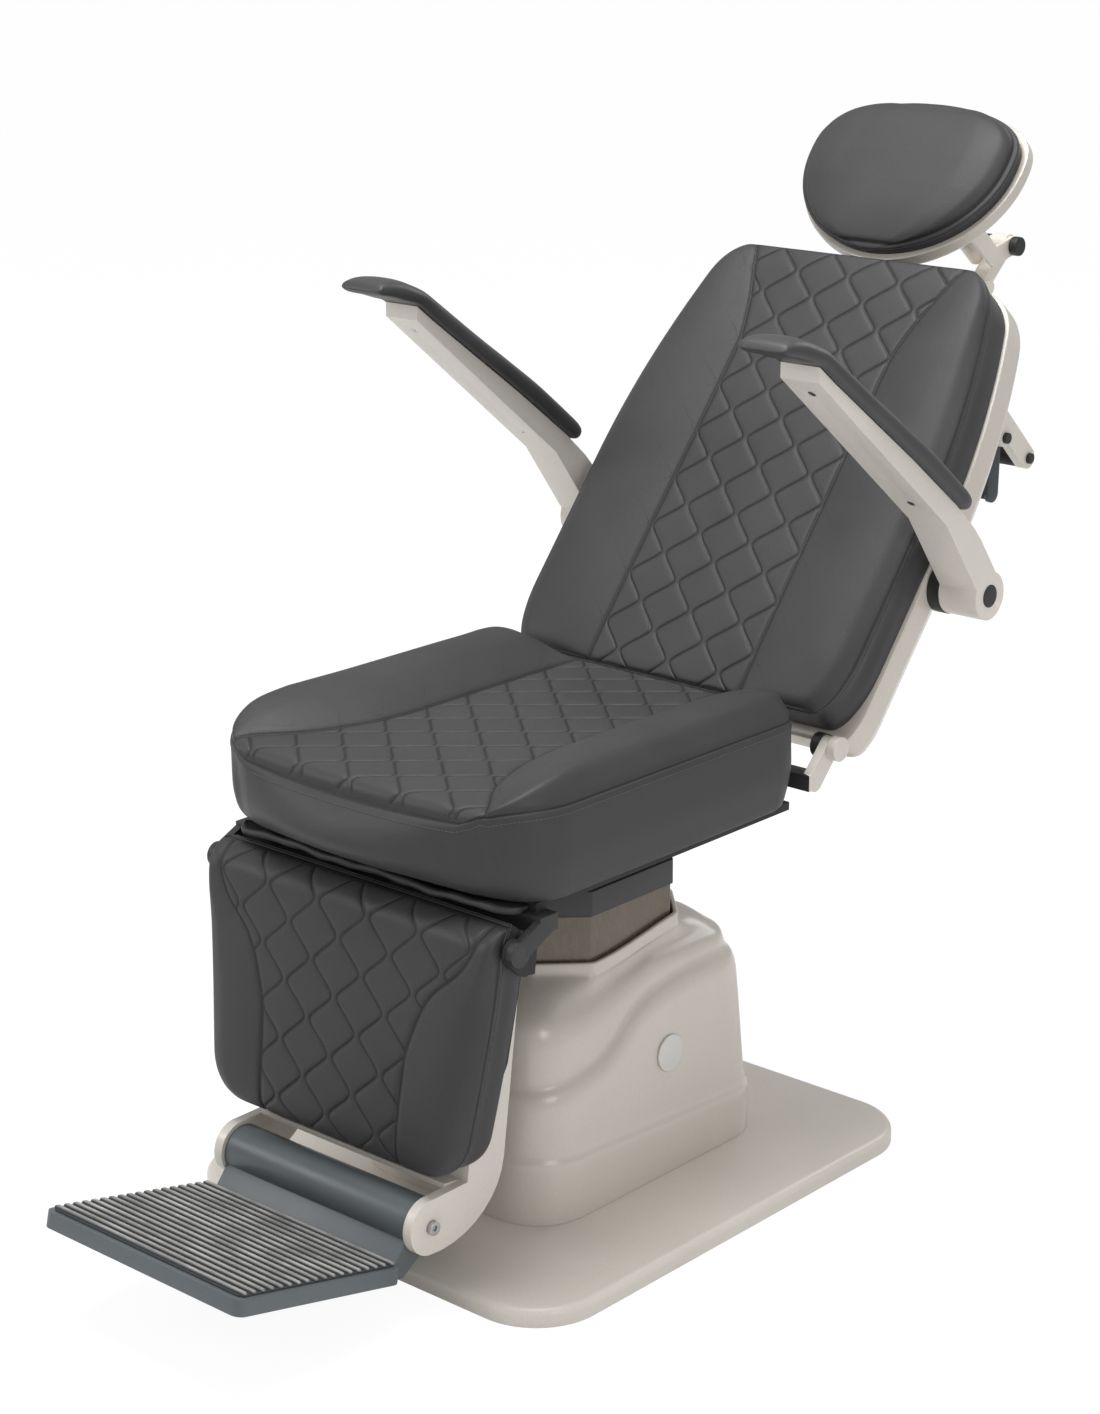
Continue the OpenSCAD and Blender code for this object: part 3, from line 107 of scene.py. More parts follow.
def worked(tree, operation, source, other=None):
    """One step of arithmetic in a material: on a source alone, or with a number or a second source."""
    node = tree.nodes.new("ShaderNodeMath")
    node.operation = operation
    tree.links.new(source, node.inputs[0])
    if isinstance(other, float):
        node.inputs[1].default_value = other
    elif other is not None:
        tree.links.new(other, node.inputs[1])
    return node.outputs[0]


world = bpy.data.worlds.new("studio")
bpy.context.scene.world = world
world.use_nodes = True
sky = world.node_tree
rays = sky.nodes.new("ShaderNodeLightPath")
seen = worked(sky, "MAXIMUM", rays.outputs["Is Camera Ray"], rays.outputs["Is Transmission Ray"])
sky.nodes["Background"].inputs["Color"].default_value = (1, 1, 1, 1)
sky.links.new(ranged(sky, seen, 0, 1, 0.46), sky.nodes["Background"].inputs["Strength"])

floor_mesh = bpy.data.meshes.new("floor")
floor_mesh.from_pydata([(-30, -30, 0), (30, -30, 0), (30, 60, 0), (-30, 60, 0)], [], [(0, 1, 2, 3)])
floor = bpy.data.objects.new("floor", floor_mesh)
bpy.context.collection.objects.link(floor)
floor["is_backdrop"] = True
pale = bpy.data.materials.new("floor")
pale.use_nodes = True
tree = pale.node_tree
matt = tree.nodes["Principled BSDF"]
matt.inputs["Base Color"].default_value = (0.9, 0.9, 0.9, 1)
matt.inputs["Roughness"].default_value = 0.9
matt.inputs["Specular IOR Level"].default_value = 0.1
glow = tree.nodes.new("ShaderNodeEmission")
glow.inputs["Strength"].default_value = 1.09
blend_in = tree.nodes.new("ShaderNodeMixShader")
rays = tree.nodes.new("ShaderNodeLightPath")
tree.links.new(worked(tree, "MULTIPLY", rays.outputs["Is Camera Ray"], 0.85), blend_in.inputs[0])
tree.links.new(matt.outputs[0], blend_in.inputs[1])
tree.links.new(glow.outputs[0], blend_in.inputs[2])
tree.links.new(blend_in.outputs[0], tree.nodes["Material Output"].inputs["Surface"])
floor_mesh.materials.append(pale)

# Base plate. A 22 mm steel slab with round corners, powder coated in a warm light grey, that carries the
# whole chair. Its upper edge is rounded, and the coat has a fine orange peel and faint scuffs.
def dimmed(tree, colour, factor):
    """A colour made darker or lighter by a factor."""
    node = tree.nodes.new("ShaderNodeVectorMath")
    node.operation = "SCALE"
    tree.links.new(colour, node.inputs[0])
    tree.links.new(factor, node.inputs["Scale"])
    return node.outputs[0]


def finish(name, tint, shades=(0.94, 1.05), rough=(0.38, 0.5), patch=5.0, grain=700.0, depth=0.00006,
           metal=0.0, stretch=(1, 1, 1), cells=False, worn=0.0, coat=0.0, reflection_streak=0.0):
    """A procedural finish: a tint that drifts, a roughness that follows it, and a grain that stands up."""
    made = bpy.data.materials.new(name)
    made.use_nodes = True
    tree = made.node_tree
    nodes, links = tree.nodes, tree.links
    shader = nodes["Principled BSDF"]
    shader.inputs["Metallic"].default_value = metal
    shader.inputs["Coat Weight"].default_value = coat
    shader.inputs["Coat Roughness"].default_value = 0.25
    spot = nodes.new("ShaderNodeTexCoord")
    turned = nodes.new("ShaderNodeMapping")
    turned.inputs["Scale"].default_value = stretch
    links.new(spot.outputs["Object"], turned.inputs["Vector"])
    drift = nodes.new("ShaderNodeTexNoise")
    drift.inputs["Scale"].default_value, drift.inputs["Detail"].default_value = patch, 6
    links.new(spot.outputs["Object"], drift.inputs["Vector"])
    fine = nodes.new("ShaderNodeTexVoronoi" if cells else "ShaderNodeTexNoise")
    fine.inputs["Scale"].default_value = grain
    links.new(turned.outputs[0], fine.inputs["Vector"])
    grain_height = fine.outputs["Distance" if cells else "Fac"]
    ramp = nodes.new("ShaderNodeValToRGB")
    for stop, at, shade in zip(ramp.color_ramp.elements, (0.3, 0.7), shades):
        stop.position = at
        stop.color = (*[min(1, c * shade) for c in tint], 1)
    links.new(drift.outputs["Fac"], ramp.inputs["Fac"])
    # Where asked for, the grain also lightens and darkens the colour more widely, as painted streaks of
    # reflection.
    speckle = ranged(tree, grain_height, 0.25, 0.75, 0.95 - reflection_streak, 1.03 + reflection_streak)
    colour = dimmed(tree, ramp.outputs["Color"], speckle)
    if worn:
        shape = nodes.new("ShaderNodeNewGeometry")
        rubbed = nodes.new("ShaderNodeMix")
        rubbed.data_type = "RGBA"
        rubbed.inputs["B"].default_value = (*[min(1, c * 1.35 + 0.03) for c in tint], 1)
        links.new(ranged(tree, shape.outputs["Pointiness"], 0.52, 0.62, 0, worn), rubbed.inputs["Factor"])
        links.new(colour, rubbed.inputs["A"])
        colour = rubbed.outputs["Result"]
    links.new(colour, shader.inputs["Base Color"])
    links.new(ranged(tree, drift.outputs["Fac"], 0.3, 0.7, *rough), shader.inputs["Roughness"])
    bump = nodes.new("ShaderNodeBump")
    bump.inputs["Strength"].default_value, bump.inputs["Distance"].default_value = 0.6, depth
    links.new(grain_height, bump.inputs["Height"])
    links.new(bump.outputs[0], shader.inputs["Normal"])
    return made


def shown(name, mesh, body, slot, *nodes, material=None, smooth=35):
    """Puts a finished mesh in the scene as a piece on its body, in place of the CAD nodes it stands for."""
    piece = bpy.data.objects.new(name, mesh)
    bpy.context.collection.objects.link(piece)
    mesh.shade_smooth()
    if smooth < 180:
        mesh.set_sharp_from_angle(angle=math.radians(smooth))
    if material:
        mesh.materials.clear()
        mesh.materials.append(material)
    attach(piece, body)
    if nodes:
        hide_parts(*nodes)
    return piece


def softened(node, radius):
    """A copy of a CAD node whose sharp edges are rounded, as casting, pressing or moulding leaves them."""
    flat_angle, sharp_angle = math.radians(0.7), math.radians(28)
    shape = bmesh.new()
    shape.from_mesh(frame["nodes"][node].data)
    bmesh.ops.remove_doubles(shape, verts=shape.verts, dist=0.00002)
    bmesh.ops.dissolve_limit(shape, angle_limit=flat_angle, verts=shape.verts, edges=shape.edges)
    sharp = [e for e in shape.edges if len(e.link_faces) == 2 and e.calc_face_angle(0) > sharp_angle]
    bmesh.ops.bevel(shape, geom=sharp, offset=radius, offset_type="OFFSET", segments=3, profile=0.6,
                    affect="EDGES", clamp_overlap=True)
    bmesh.ops.triangulate(shape, faces=[f for f in shape.faces if len(f.verts) > 4])
    mesh = bpy.data.meshes.new(node + "_soft")
    shape.to_mesh(mesh)
    shape.free()
    return mesh


cream = finish("cream_coat", (0.700, 0.655, 0.592), rough=(0.28, 0.38), grain=420, depth=0.00005, worn=0.25,
               coat=0.12)
shown("base_slab", softened("base_plate", 0.0012), "base", "cream_paint", "base_plate", material=cream)

# Base cover. A vacuum-formed shell in satin beige that hides the column: a skirt, a body with a shelf that
# climbs to the rear, a rounded cowl above a soft cove, and a thin flange round the telescopic shroud.
def curve(table, t):
    """A smooth line through a table of places and values that never overshoots them."""
    xs, ys = np.array(table, float).T
    slope = np.diff(ys) / np.diff(xs)
    before, after = slope[:-1], slope[1:]
    mean = 2 * before * after / np.where(before + after == 0, 1, before + after)
    lean = np.concatenate((slope[:1], np.where(before * after > 0, mean, 0), slope[-1:]))
    t = np.clip(np.asarray(t, float), xs[0], xs[-1])
    k = np.clip(np.searchsorted(xs, t, side="right") - 1, 0, len(xs) - 2)
    h = xs[k + 1] - xs[k]
    u = (t - xs[k]) / h
    return ((2 * u ** 3 - 3 * u ** 2 + 1) * ys[k] + (u ** 3 - 2 * u ** 2 + u) * h * lean[k]
            + (3 * u ** 2 - 2 * u ** 3) * ys[k + 1] + (u ** 3 - u ** 2) * h * lean[k + 1])


def around(outline, angles):
    """How far an outline lies from the column axis in each direction."""
    closed = np.array(outline)
    turn = np.arctan2(closed[:, 1], closed[:, 0])
    order = np.argsort(turn)
    return np.interp(angles, turn[order], np.hypot(*closed.T)[order], period=2 * math.pi)


def dense(corners, count):
    """A closed outline with count points along each of its straight runs."""
    return [(a[0] + (b[0] - a[0]) * k / count, a[1] + (b[1] - a[1]) * k / count)
            for a, b in zip(corners, corners[1:] + corners[:1]) for k in range(count)]


def rounded(width, length, radius, centre, steps):
    """The points of a rectangle with round corners."""
    points = []
    for q, (sx, sy) in enumerate(((1, 1), (-1, 1), (-1, -1), (1, -1))):
        for k in range(steps):
            a = math.radians(90 * q + 90 * k / (steps - 1))
            points.append((sx * (width / 2 - radius) + radius * math.cos(a),
                           centre + sy * (length / 2 - radius) + radius * math.sin(a)))
    return points


def cut_corners(width, length, corner):
    """The points of a rectangle with flat corners."""
    w, l = width / 2, length / 2
    return [(w - corner, -l), (w, corner - l), (w, l - corner), (w - corner, l),
            (corner - w, l), (-w, l - corner), (-w, corner - l), (corner - w, -l)]


cover_w, cover_l, cover_front, cover_r, plate_top = 0.324, 0.430, 0.221, 0.072, 0.022
directions = np.linspace(-math.pi, math.pi, 176, endpoint=False)


def along_cover(y):
    return (y + cover_front) / cover_l


def skirt_z(y):
    return plate_top + 0.081 - 0.023 * along_cover(y)


def shelf_z(y):
    return plate_top + 0.158 + 0.084 * curve([[0, 0], [0.27, 0.2], [0.35, 0.4], [0.435, 0.72], [0.52, 0.88],
                                              [0.7, 0.99], [1, 1]], along_cover(y))


def shoulder_z(y):
    return plate_top + 0.243 + 0.029 * curve([[0, 0], [0.24, 0], [0.31, 0.2], [0.48, 0.75], [0.56, 1],
                                              [1, 1]], along_cover(y))


def flange_z(y):
    return plate_top + 0.287 + 0.022 * curve([[0, 0], [0.35, 0], [0.78, 1], [1, 1]], along_cover(y))


def cover_reach(inset, z):
    """The cover's plan, drawn in by an inset and by the draft of its sides and rear at a height."""
    plan = rounded(cover_w - 2 * inset, cover_l - 2 * inset, cover_r - min(inset, 0.04),
                   cover_l / 2 - cover_front, 40)
    reach = around(dense(plan, 24), directions)
    lift = np.clip(z - 0.080, 0, None) / 0.214
    x, y = reach * np.cos(directions), reach * np.sin(directions)
    x = x * (1 - 0.008 * lift / (cover_w / 2))
    y = np.where(y > 0, y * (1 - 0.020 * lift / (cover_l - cover_front)), y)
    return np.stack((x, y), 1)


def flange_reach(grow):
    reach = around(dense(cut_corners(0.214 + 2 * grow, 0.240 + 2 * grow, 0.047 + grow / 2), 60), directions)
    return np.stack((reach * np.cos(directions), reach * np.sin(directions)), 1)


def wall_z(line, y):
    """The height of a line of the cover's wall: 0 is its foot, 1 the skirt's edge, 2 the shelf and 3 the
    shoulder, with what lies between shared out."""
    lines = (plate_top + 0 * y, skirt_z(y), shelf_z(y), shoulder_z(y))
    k = min(int(line), 2)
    return lines[k] * (1 - line + k) + lines[k + 1] * (line - k)


# The wall from its foot up, ring by ring: how far each is drawn in, its line, and how far it is over
# that line.
rings = []
for inset, line, over in ((0.0003, 0, 0.0003), (0, 0, 0.002), (0, 1, -0.012), (0.0002, 1, -0.004),
                          (0.0015, 1, -0.0008), (0.004, 1, 0.002), (0.005, 1, 0.008), (0.005, 1, 0.030),
                          (0.005, 1.5, 0), (0.005, 2, -0.034), (0.006, 2, -0.018), (0.0085, 2, -0.008),
                          (0.0125, 2, -0.0025), (0.0165, 2, 0.001), (0.0185, 2, 0.006), (0.0192, 2.25, 0),
                          (0.0198, 2.5, 0), (0.0225, 2.75, 0), (0.0275, 2.9, 0), (0.036, 3, 0.0015)):
    flat = cover_reach(inset, 0.15)
    for _ in range(2):
        flat = cover_reach(inset, wall_z(line, flat[:, 1]) + over)
    rings.append(np.column_stack((flat, wall_z(line, flat[:, 1]) + over)))

# The cowl from the shoulder to the flange, and then the flange itself, by how far each ring is over its lip.
lip_drop, cowl_crown = 0.015, 0.004
shoulder, outer = rings[-1], flange_reach(0.009)
for t in (0.3, 0.62, 0.88):
    flat = shoulder[:, :2] * (1 - t) + outer * t
    rise = (shoulder[:, 2] * (1 - t) + (flange_z(outer[:, 1]) - lip_drop) * t
            + cowl_crown * math.sin(math.pi * t))
    rings.append(np.column_stack((flat, rise)))
for grow, over in ((0.0095, -0.014), (0.009, -0.011), (0.009, -0.002), (0.0083, -0.0004), (0.007, 0),
                   (0.0045, 0), (0.0034, -0.0006), (0.003, -0.003), (0.003, -0.030)):
    flat = flange_reach(grow)
    rings.append(np.column_stack((flat, flange_z(flat[:, 1]) + over)))


def tube(rings, loop, capped=False):
    """The faces of a tube made of rings of loop points each, with its ends closed where it is capped."""
    faces = [(r * loop + k, r * loop + (k + 1) % loop, (r + 1) * loop + (k + 1) % loop, (r + 1) * loop + k)
             for r in range(rings - 1) for k in range(loop)]
    if capped:
        faces += [tuple(reversed(range(loop))), tuple(range((rings - 1) * loop, rings * loop))]
    return faces


def worker_of(name, data):
    """An object that carries a mesh or a curve while modifiers work on it."""
    worker = bpy.data.objects.new(name, data)
    bpy.context.collection.objects.link(worker)
    return worker


def made_plain(worker):
    """The plain mesh that a worker's modifiers give. The worker goes."""
    bpy.context.view_layer.update()
    result = bpy.data.meshes.new_from_object(worker.evaluated_get(bpy.context.evaluated_depsgraph_get()))
    bpy.data.objects.remove(worker)
    return result


def divided(mesh, levels=1):
    """The mesh as a subdivision surface, made plain."""
    worker = worker_of("rounder", mesh)
    rounder = worker.modifiers.new("rounder", "SUBSURF")
    rounder.levels = rounder.render_levels = levels
    return made_plain(worker)


def pierced(mesh, low, high):
    """The mesh with a box cut out of it."""
    box_mesh = bpy.data.meshes.new("opening")
    corners = [(x, y, z) for x in (low[0], high[0]) for y in (low[1], high[1]) for z in (low[2], high[2])]
    box_mesh.from_pydata(corners, [], [(0, 1, 3, 2), (4, 6, 7, 5), (0, 4, 5, 1), (2, 3, 7, 6), (0, 2, 6, 4),
                                       (1, 5, 7, 3)])
    worker, opening = worker_of("cut", mesh), worker_of("opening", box_mesh)
    cut = worker.modifiers.new("cut", "BOOLEAN")
    cut.operation, cut.object, cut.solver = "DIFFERENCE", opening, "EXACT"
    result = made_plain(worker)
    bpy.data.objects.remove(opening)
    return result


shell = bpy.data.meshes.new("cover_shell")
shell.from_pydata(np.concatenate(rings).tolist(), [], tube(len(rings), len(directions)))
moulding = finish("beige_moulding", (0.620, 0.572, 0.515), shades=(0.96, 1.04), rough=(0.20, 0.28), patch=3,
                  grain=520, depth=0.00003, coat=0.4)
inlet_low, inlet_high = (-0.119, 0.18, 0.040), (-0.071, 0.23, 0.070)
shell = pierced(divided(shell), inlet_low, inlet_high)
shown("cover_shell", shell, "base", "cream_moulding", "base_cover", material=moulding, smooth=50)

# Badge. A small blank disc of satin metal, pressed with a thin raised rim, and glued to the cover's right
# side.
badge_face = finish("badge_face", (0.66, 0.65, 0.62), rough=(0.22, 0.32), grain=260, depth=0.00002, metal=0.3,
                    stretch=(1, 1, 8))
rim_wide, rim_slope, rim_tall = 0.0030, 0.0007, 0.0010
disc = softened("cover_badge", 0.0009)
work = bmesh.new()
work.from_mesh(disc)
front = [face for face in work.faces if face.normal.x > 0.97 and face.calc_area() > 0.001]
for inward, sink in ((rim_wide, 0.0), (rim_slope, -rim_tall)):
    bmesh.ops.inset_region(work, faces=front, thickness=inward, depth=sink, use_even_offset=True)
work.to_mesh(disc)
work.free()
shown("badge_disc", disc, "base", "badge", "cover_badge", material=badge_face)

# Seat cushion. Moulded foam on a board under stretched dark grey vinyl, with a quilted middle panel between
# two plain bolsters, and a boxing strip sewn and top-stitched round the edge.
def vinyl(name, tint):
    """Leather-grain vinyl, pressed in along its sewn lines, with painted shade that darkens its colour in a
    thin core along each line and more softly beside it. The cover's "sewn" attribute holds the distances to
    the quilting, the panel seam and the edge seam."""
    made = finish(name, tint, shades=(0.9, 1.12), rough=(0.46, 0.58), patch=9, grain=620, depth=0.00022,
                  cells=True)
    tree = made.node_tree
    nodes, links = tree.nodes, tree.links
    shader = nodes["Principled BSDF"]
    shader.inputs["Specular IOR Level"].default_value = 0.36
    lines = nodes.new("ShaderNodeAttribute")
    lines.attribute_name = "sewn"
    parts = nodes.new("ShaderNodeSeparateXYZ")
    links.new(lines.outputs["Vector"], parts.inputs[0])
    shade_cores, shade_halos = [], []
    for socket, core, halo in (("X", 0.0011, 0.0026), ("Y", 0.0014, 0.0036), ("Z", 0.0015, 0.0036)):
        off = worked(tree, "ABSOLUTE", parts.outputs[socket])
        shade_cores.append(ranged(tree, off, core * 0.12, core, smooth=True))
        shade_halos.append(ranged(tree, off, halo * 0.12, halo, smooth=True))
    thin, wide = (functools.reduce(lambda a, b: worked(tree, "MINIMUM", a, b), s) for s in (shade_cores, shade_halos))
    # Painted shade: the colour falls to about a third along each sewn line, and to 0.86 of itself in a wider
    # halo round it.
    shade = worked(tree, "MULTIPLY", ranged(tree, thin, 0, 1, 0.34), ranged(tree, wide, 0, 1, 0.86))
    source = shader.inputs["Base Color"].links[0].from_socket
    links.new(dimmed(tree, source, shade), shader.inputs["Base Color"])
    grain = shader.inputs["Normal"].links[0].from_node
    groove = nodes.new("ShaderNodeBump")
    groove.inputs["Strength"].default_value, groove.inputs["Distance"].default_value = 0.8, 0.0012
    links.new(wide, groove.inputs["Height"])
    links.new(groove.outputs[0], grain.inputs["Normal"])
    return made


def fading(table, d):
    return np.clip(curve(table, d), 0, 1)


# How a cushion's top falls to its ends, how a bolster rises from the panel's seam, and how it falls to its
# edge.
end_fall = [[0, 1], [0.1, 0.55], [0.3, 0.2], [0.6, 0.05], [1, 0]]
crown_rise = [[0, 0], [0.25, 0.45], [0.5, 0.82], [0.8, 1], [1, 0]]
crown_fall = [[0, 0], [0.6, 0], [0.85, 0.25], [1, 1]]


def corner_cut(d, wide, deep):
    return wide * (1 - np.sqrt(1 - (1 - np.clip(d / deep, 0, 1)) ** 2))


def cushion(length, half, panel, heights, ends, wall, pitch=0.0044, crown=None, bow=0.0):
    """A cushion that lies down: X across, Y along from its near end, Z up from its base. Gives its vertices,
    its faces, how far inside its edge each vertex is (below nought on its wall), and the wall's loops."""
    middle, bolster, edge, edge_drop = heights
    near_end, far_end, roll = ends
    close = length * np.array([0, 0.004, 0.010, 0.018])
    rows = np.unique(np.concatenate((close, length - close,
                                     np.arange(0.026 * length, length * 0.975, pitch))))
    columns = np.linspace(-1, 1, 2 * int(half(length / 2) / pitch) + 1)
    columns = np.sign(columns) * (1 - (1 - np.abs(columns)) ** 1.12)
    s, c = np.meshgrid(rows, columns, indexing="ij")
    wide = half(s)
    x = wide * c
    seam = panel(s)
    out = np.clip((np.abs(x) - seam) / np.maximum(wide - seam, 0.000001), 0, 1)
    full_bolster = 0.12
    bolster = bolster * np.clip((wide - seam) / full_bolster, 0, 1)
    near = fading(end_fall, s / near_end)
    rim = edge - edge_drop * near * (1 - 0.5 * (x / half(length / 2)) ** 2)
    body = middle + bolster * curve(crown_rise, out) - (middle - rim) * curve(crown_fall, out)
    ending = np.maximum(near, fading(end_fall, (length - s) / far_end))
    h = body - (body - rim) * ending
    if roll > 0:
        rolled = np.clip(s - length + roll, 0, None) / roll
        h = roll + (h - roll) * np.sqrt(np.clip(1 - rolled * rolled, 0, 1))
    inward = np.minimum(np.minimum(wide - np.abs(x), s), length - s)
    if crown:
        sides, foot, head = (np.maximum(v, 0.00001) for v in (wide - np.abs(x), s, length - s))
        h = curve(crown, (sides ** -3 + foot ** -3 + head ** -3) ** (-1 / 3))
    bowed = 1 - np.clip(np.abs(x) / half(length / 2), 0, 1) ** 2
    s = s - bow * bowed * np.clip(1 - s / (length / 3), 0, 1) ** 2
    n, m = s.shape
    verts = [np.stack((x, s, h), -1).reshape(-1, 3)]
    depth = [inward.reshape(-1)]
    faces = [(r * m + k, r * m + k + 1, (r + 1) * m + k + 1, (r + 1) * m + k)
             for r in range(n - 1) for k in range(m - 1)]
    rim_ids = (list(range(m)) + [r * m + m - 1 for r in range(1, n)]
               + [(n - 1) * m + k for k in range(m - 2, -1, -1)] + [r * m for r in range(n - 2, 0, -1)])
    around_rim = len(rim_ids)
    top = verts[0][rim_ids]
    shares = np.array(wall, float)[::-1]
    spread = 3 * max(near_end / 2, abs(roll))
    by_near = np.clip(1 - top[:, 1] / spread, 0, None) ** 2
    by_far = np.clip(1 - (length - top[:, 1]) / spread, 0, None) ** 2
    loops, last, before, run, start = [], rim_ids, top, np.zeros(around_rim), n * m
    for f in (0.955, 0.9, 0.84, 0.77, 0.69, 0.6, 0.5, 0.4, 0.3, 0.2, 0.1, 0.0):
        side, near_mid, near_corner, far = (curve(shares[:, (0, k)], f) for k in (1, 2, 3, 4))
        reach = top[:, 0] / half(top[:, 1])
        ring = np.stack((top[:, 0] * (1 + side / half(top[:, 1])),
                         top[:, 1] - (near_mid + (near_corner - near_mid) * reach ** 2) * by_near
                         + far * by_far,
                         top[:, 2] * f), 1)
        run = run + np.linalg.norm(ring - before, axis=1)
        verts.append(ring)
        depth.append(-run)
        before = ring
    centre = before.mean(0)
    verts.append(centre + (before - centre) * 0.93)
    depth.append(-run - 0.02)
    for _ in verts[1:]:
        ids = list(range(start, start + around_rim))
        faces += [(last[k], ids[k], ids[(k + 1) % around_rim], last[(k + 1) % around_rim])
                  for k in range(around_rim)]
        loops.append(ids)
        last, start = ids, start + around_rim
    return np.concatenate(verts), faces, np.concatenate(depth), loops[:-1]


def read(data, field):
    """The three numbers that each item of a mesh holds, such as its place or its normal."""
    values = np.empty(len(data) * 3)
    data.foreach_get(field, values)
    return values.reshape(-1, 3)


def swell(mesh, held, cap):
    """Blows the cover up a little with cloth that is held at its seams and base. Caps how far a point goes,
    and evens out the small dents, as the foam under the vinyl does."""
    rest = read(mesh.vertices, "co")
    worker = worker_of("stuffing", mesh)
    tacked = worker.vertex_groups.new(name="tacked")
    for k, w in enumerate(held):
        if w > 0.01:
            tacked.add([k], float(w), "REPLACE")
    cloth = worker.modifiers.new("cloth", "CLOTH")
    cloth.settings.quality = 5
    cloth.settings.mass = 0.3
    cloth.settings.tension_stiffness = cloth.settings.compression_stiffness = 15
    cloth.settings.shear_stiffness = 5
    cloth.settings.bending_stiffness = 2.0
    cloth.settings.use_pressure = True
    cloth.settings.uniform_pressure_force = 4
    cloth.settings.vertex_group_mass = "tacked"
    cloth.settings.effector_weights.gravity = 0
    cloth.collision_settings.use_collision = False
    scene = bpy.context.scene
    for frame_number in range(1, 21):
        scene.frame_set(frame_number)
    moved = read(worker.evaluated_get(bpy.context.evaluated_depsgraph_get()).data.vertices, "co") - rest
    worker.modifiers.remove(cloth)
    worker.vertex_groups.clear()
    scene.frame_set(1)
    bpy.data.objects.remove(worker)
    size = np.linalg.norm(moved, axis=1, keepdims=True)
    moved *= np.tanh(size / cap) * cap / np.maximum(size, 1e-9)
    ties = np.array([e.vertices[:] for e in mesh.edges])
    beside = np.bincount(ties.reshape(-1), minlength=len(moved))[:, None]
    passes, evened = 30, 0.6
    for _ in range(passes):
        nearby = np.zeros_like(moved)
        np.add.at(nearby, ties[:, 0], moved[ties[:, 1]])
        np.add.at(nearby, ties[:, 1], moved[ties[:, 0]])
        moved = (1 - evened) * moved + evened * nearby / np.maximum(beside, 1)
    moved *= 1 - np.clip(held, 0, 1)[:, None]
    mesh.vertices.foreach_set("co", (rest + moved).reshape(-1))
    mesh.update()


zig_apart, zig_repeat, zig_swing, zig_point = 0.040, 0.070, 0.0155, 0.87


def zigzag(x, s, phase):
    """Signed distance to the quilting: rounded zigzags that run along the cushion, each the mirror image of
    the next, so that two of them bound a row of diamonds."""
    turn = 2 * math.pi * (s - phase) / zig_repeat
    wave = np.arcsin(zig_point * np.cos(turn)) / math.asin(zig_point)
    fold = zig_apart - np.abs(np.abs(x) % (2 * zig_apart) - zig_apart)
    lean = (zig_point * np.sin(turn) / np.sqrt(1 - (zig_point * np.cos(turn)) ** 2) / math.asin(zig_point)
            * zig_swing * 2 * math.pi / zig_repeat)
    return (fold - zig_apart / 2 - zig_swing * wave) / np.sqrt(1 + lean ** 2)


def mended(mesh, close=False, outward=True):
    """Closes a form's open underside where it has one, and points its faces outwards."""
    shape = bmesh.new()
    shape.from_mesh(mesh)
    if close:
        under = bmesh.ops.contextual_create(shape, geom=[e for e in shape.edges if e.is_boundary])
        bmesh.ops.triangulate(shape, faces=under["faces"])
    if outward:
        bmesh.ops.recalc_face_normals(shape, faces=shape.faces)
    shape.to_mesh(mesh)
    shape.free()


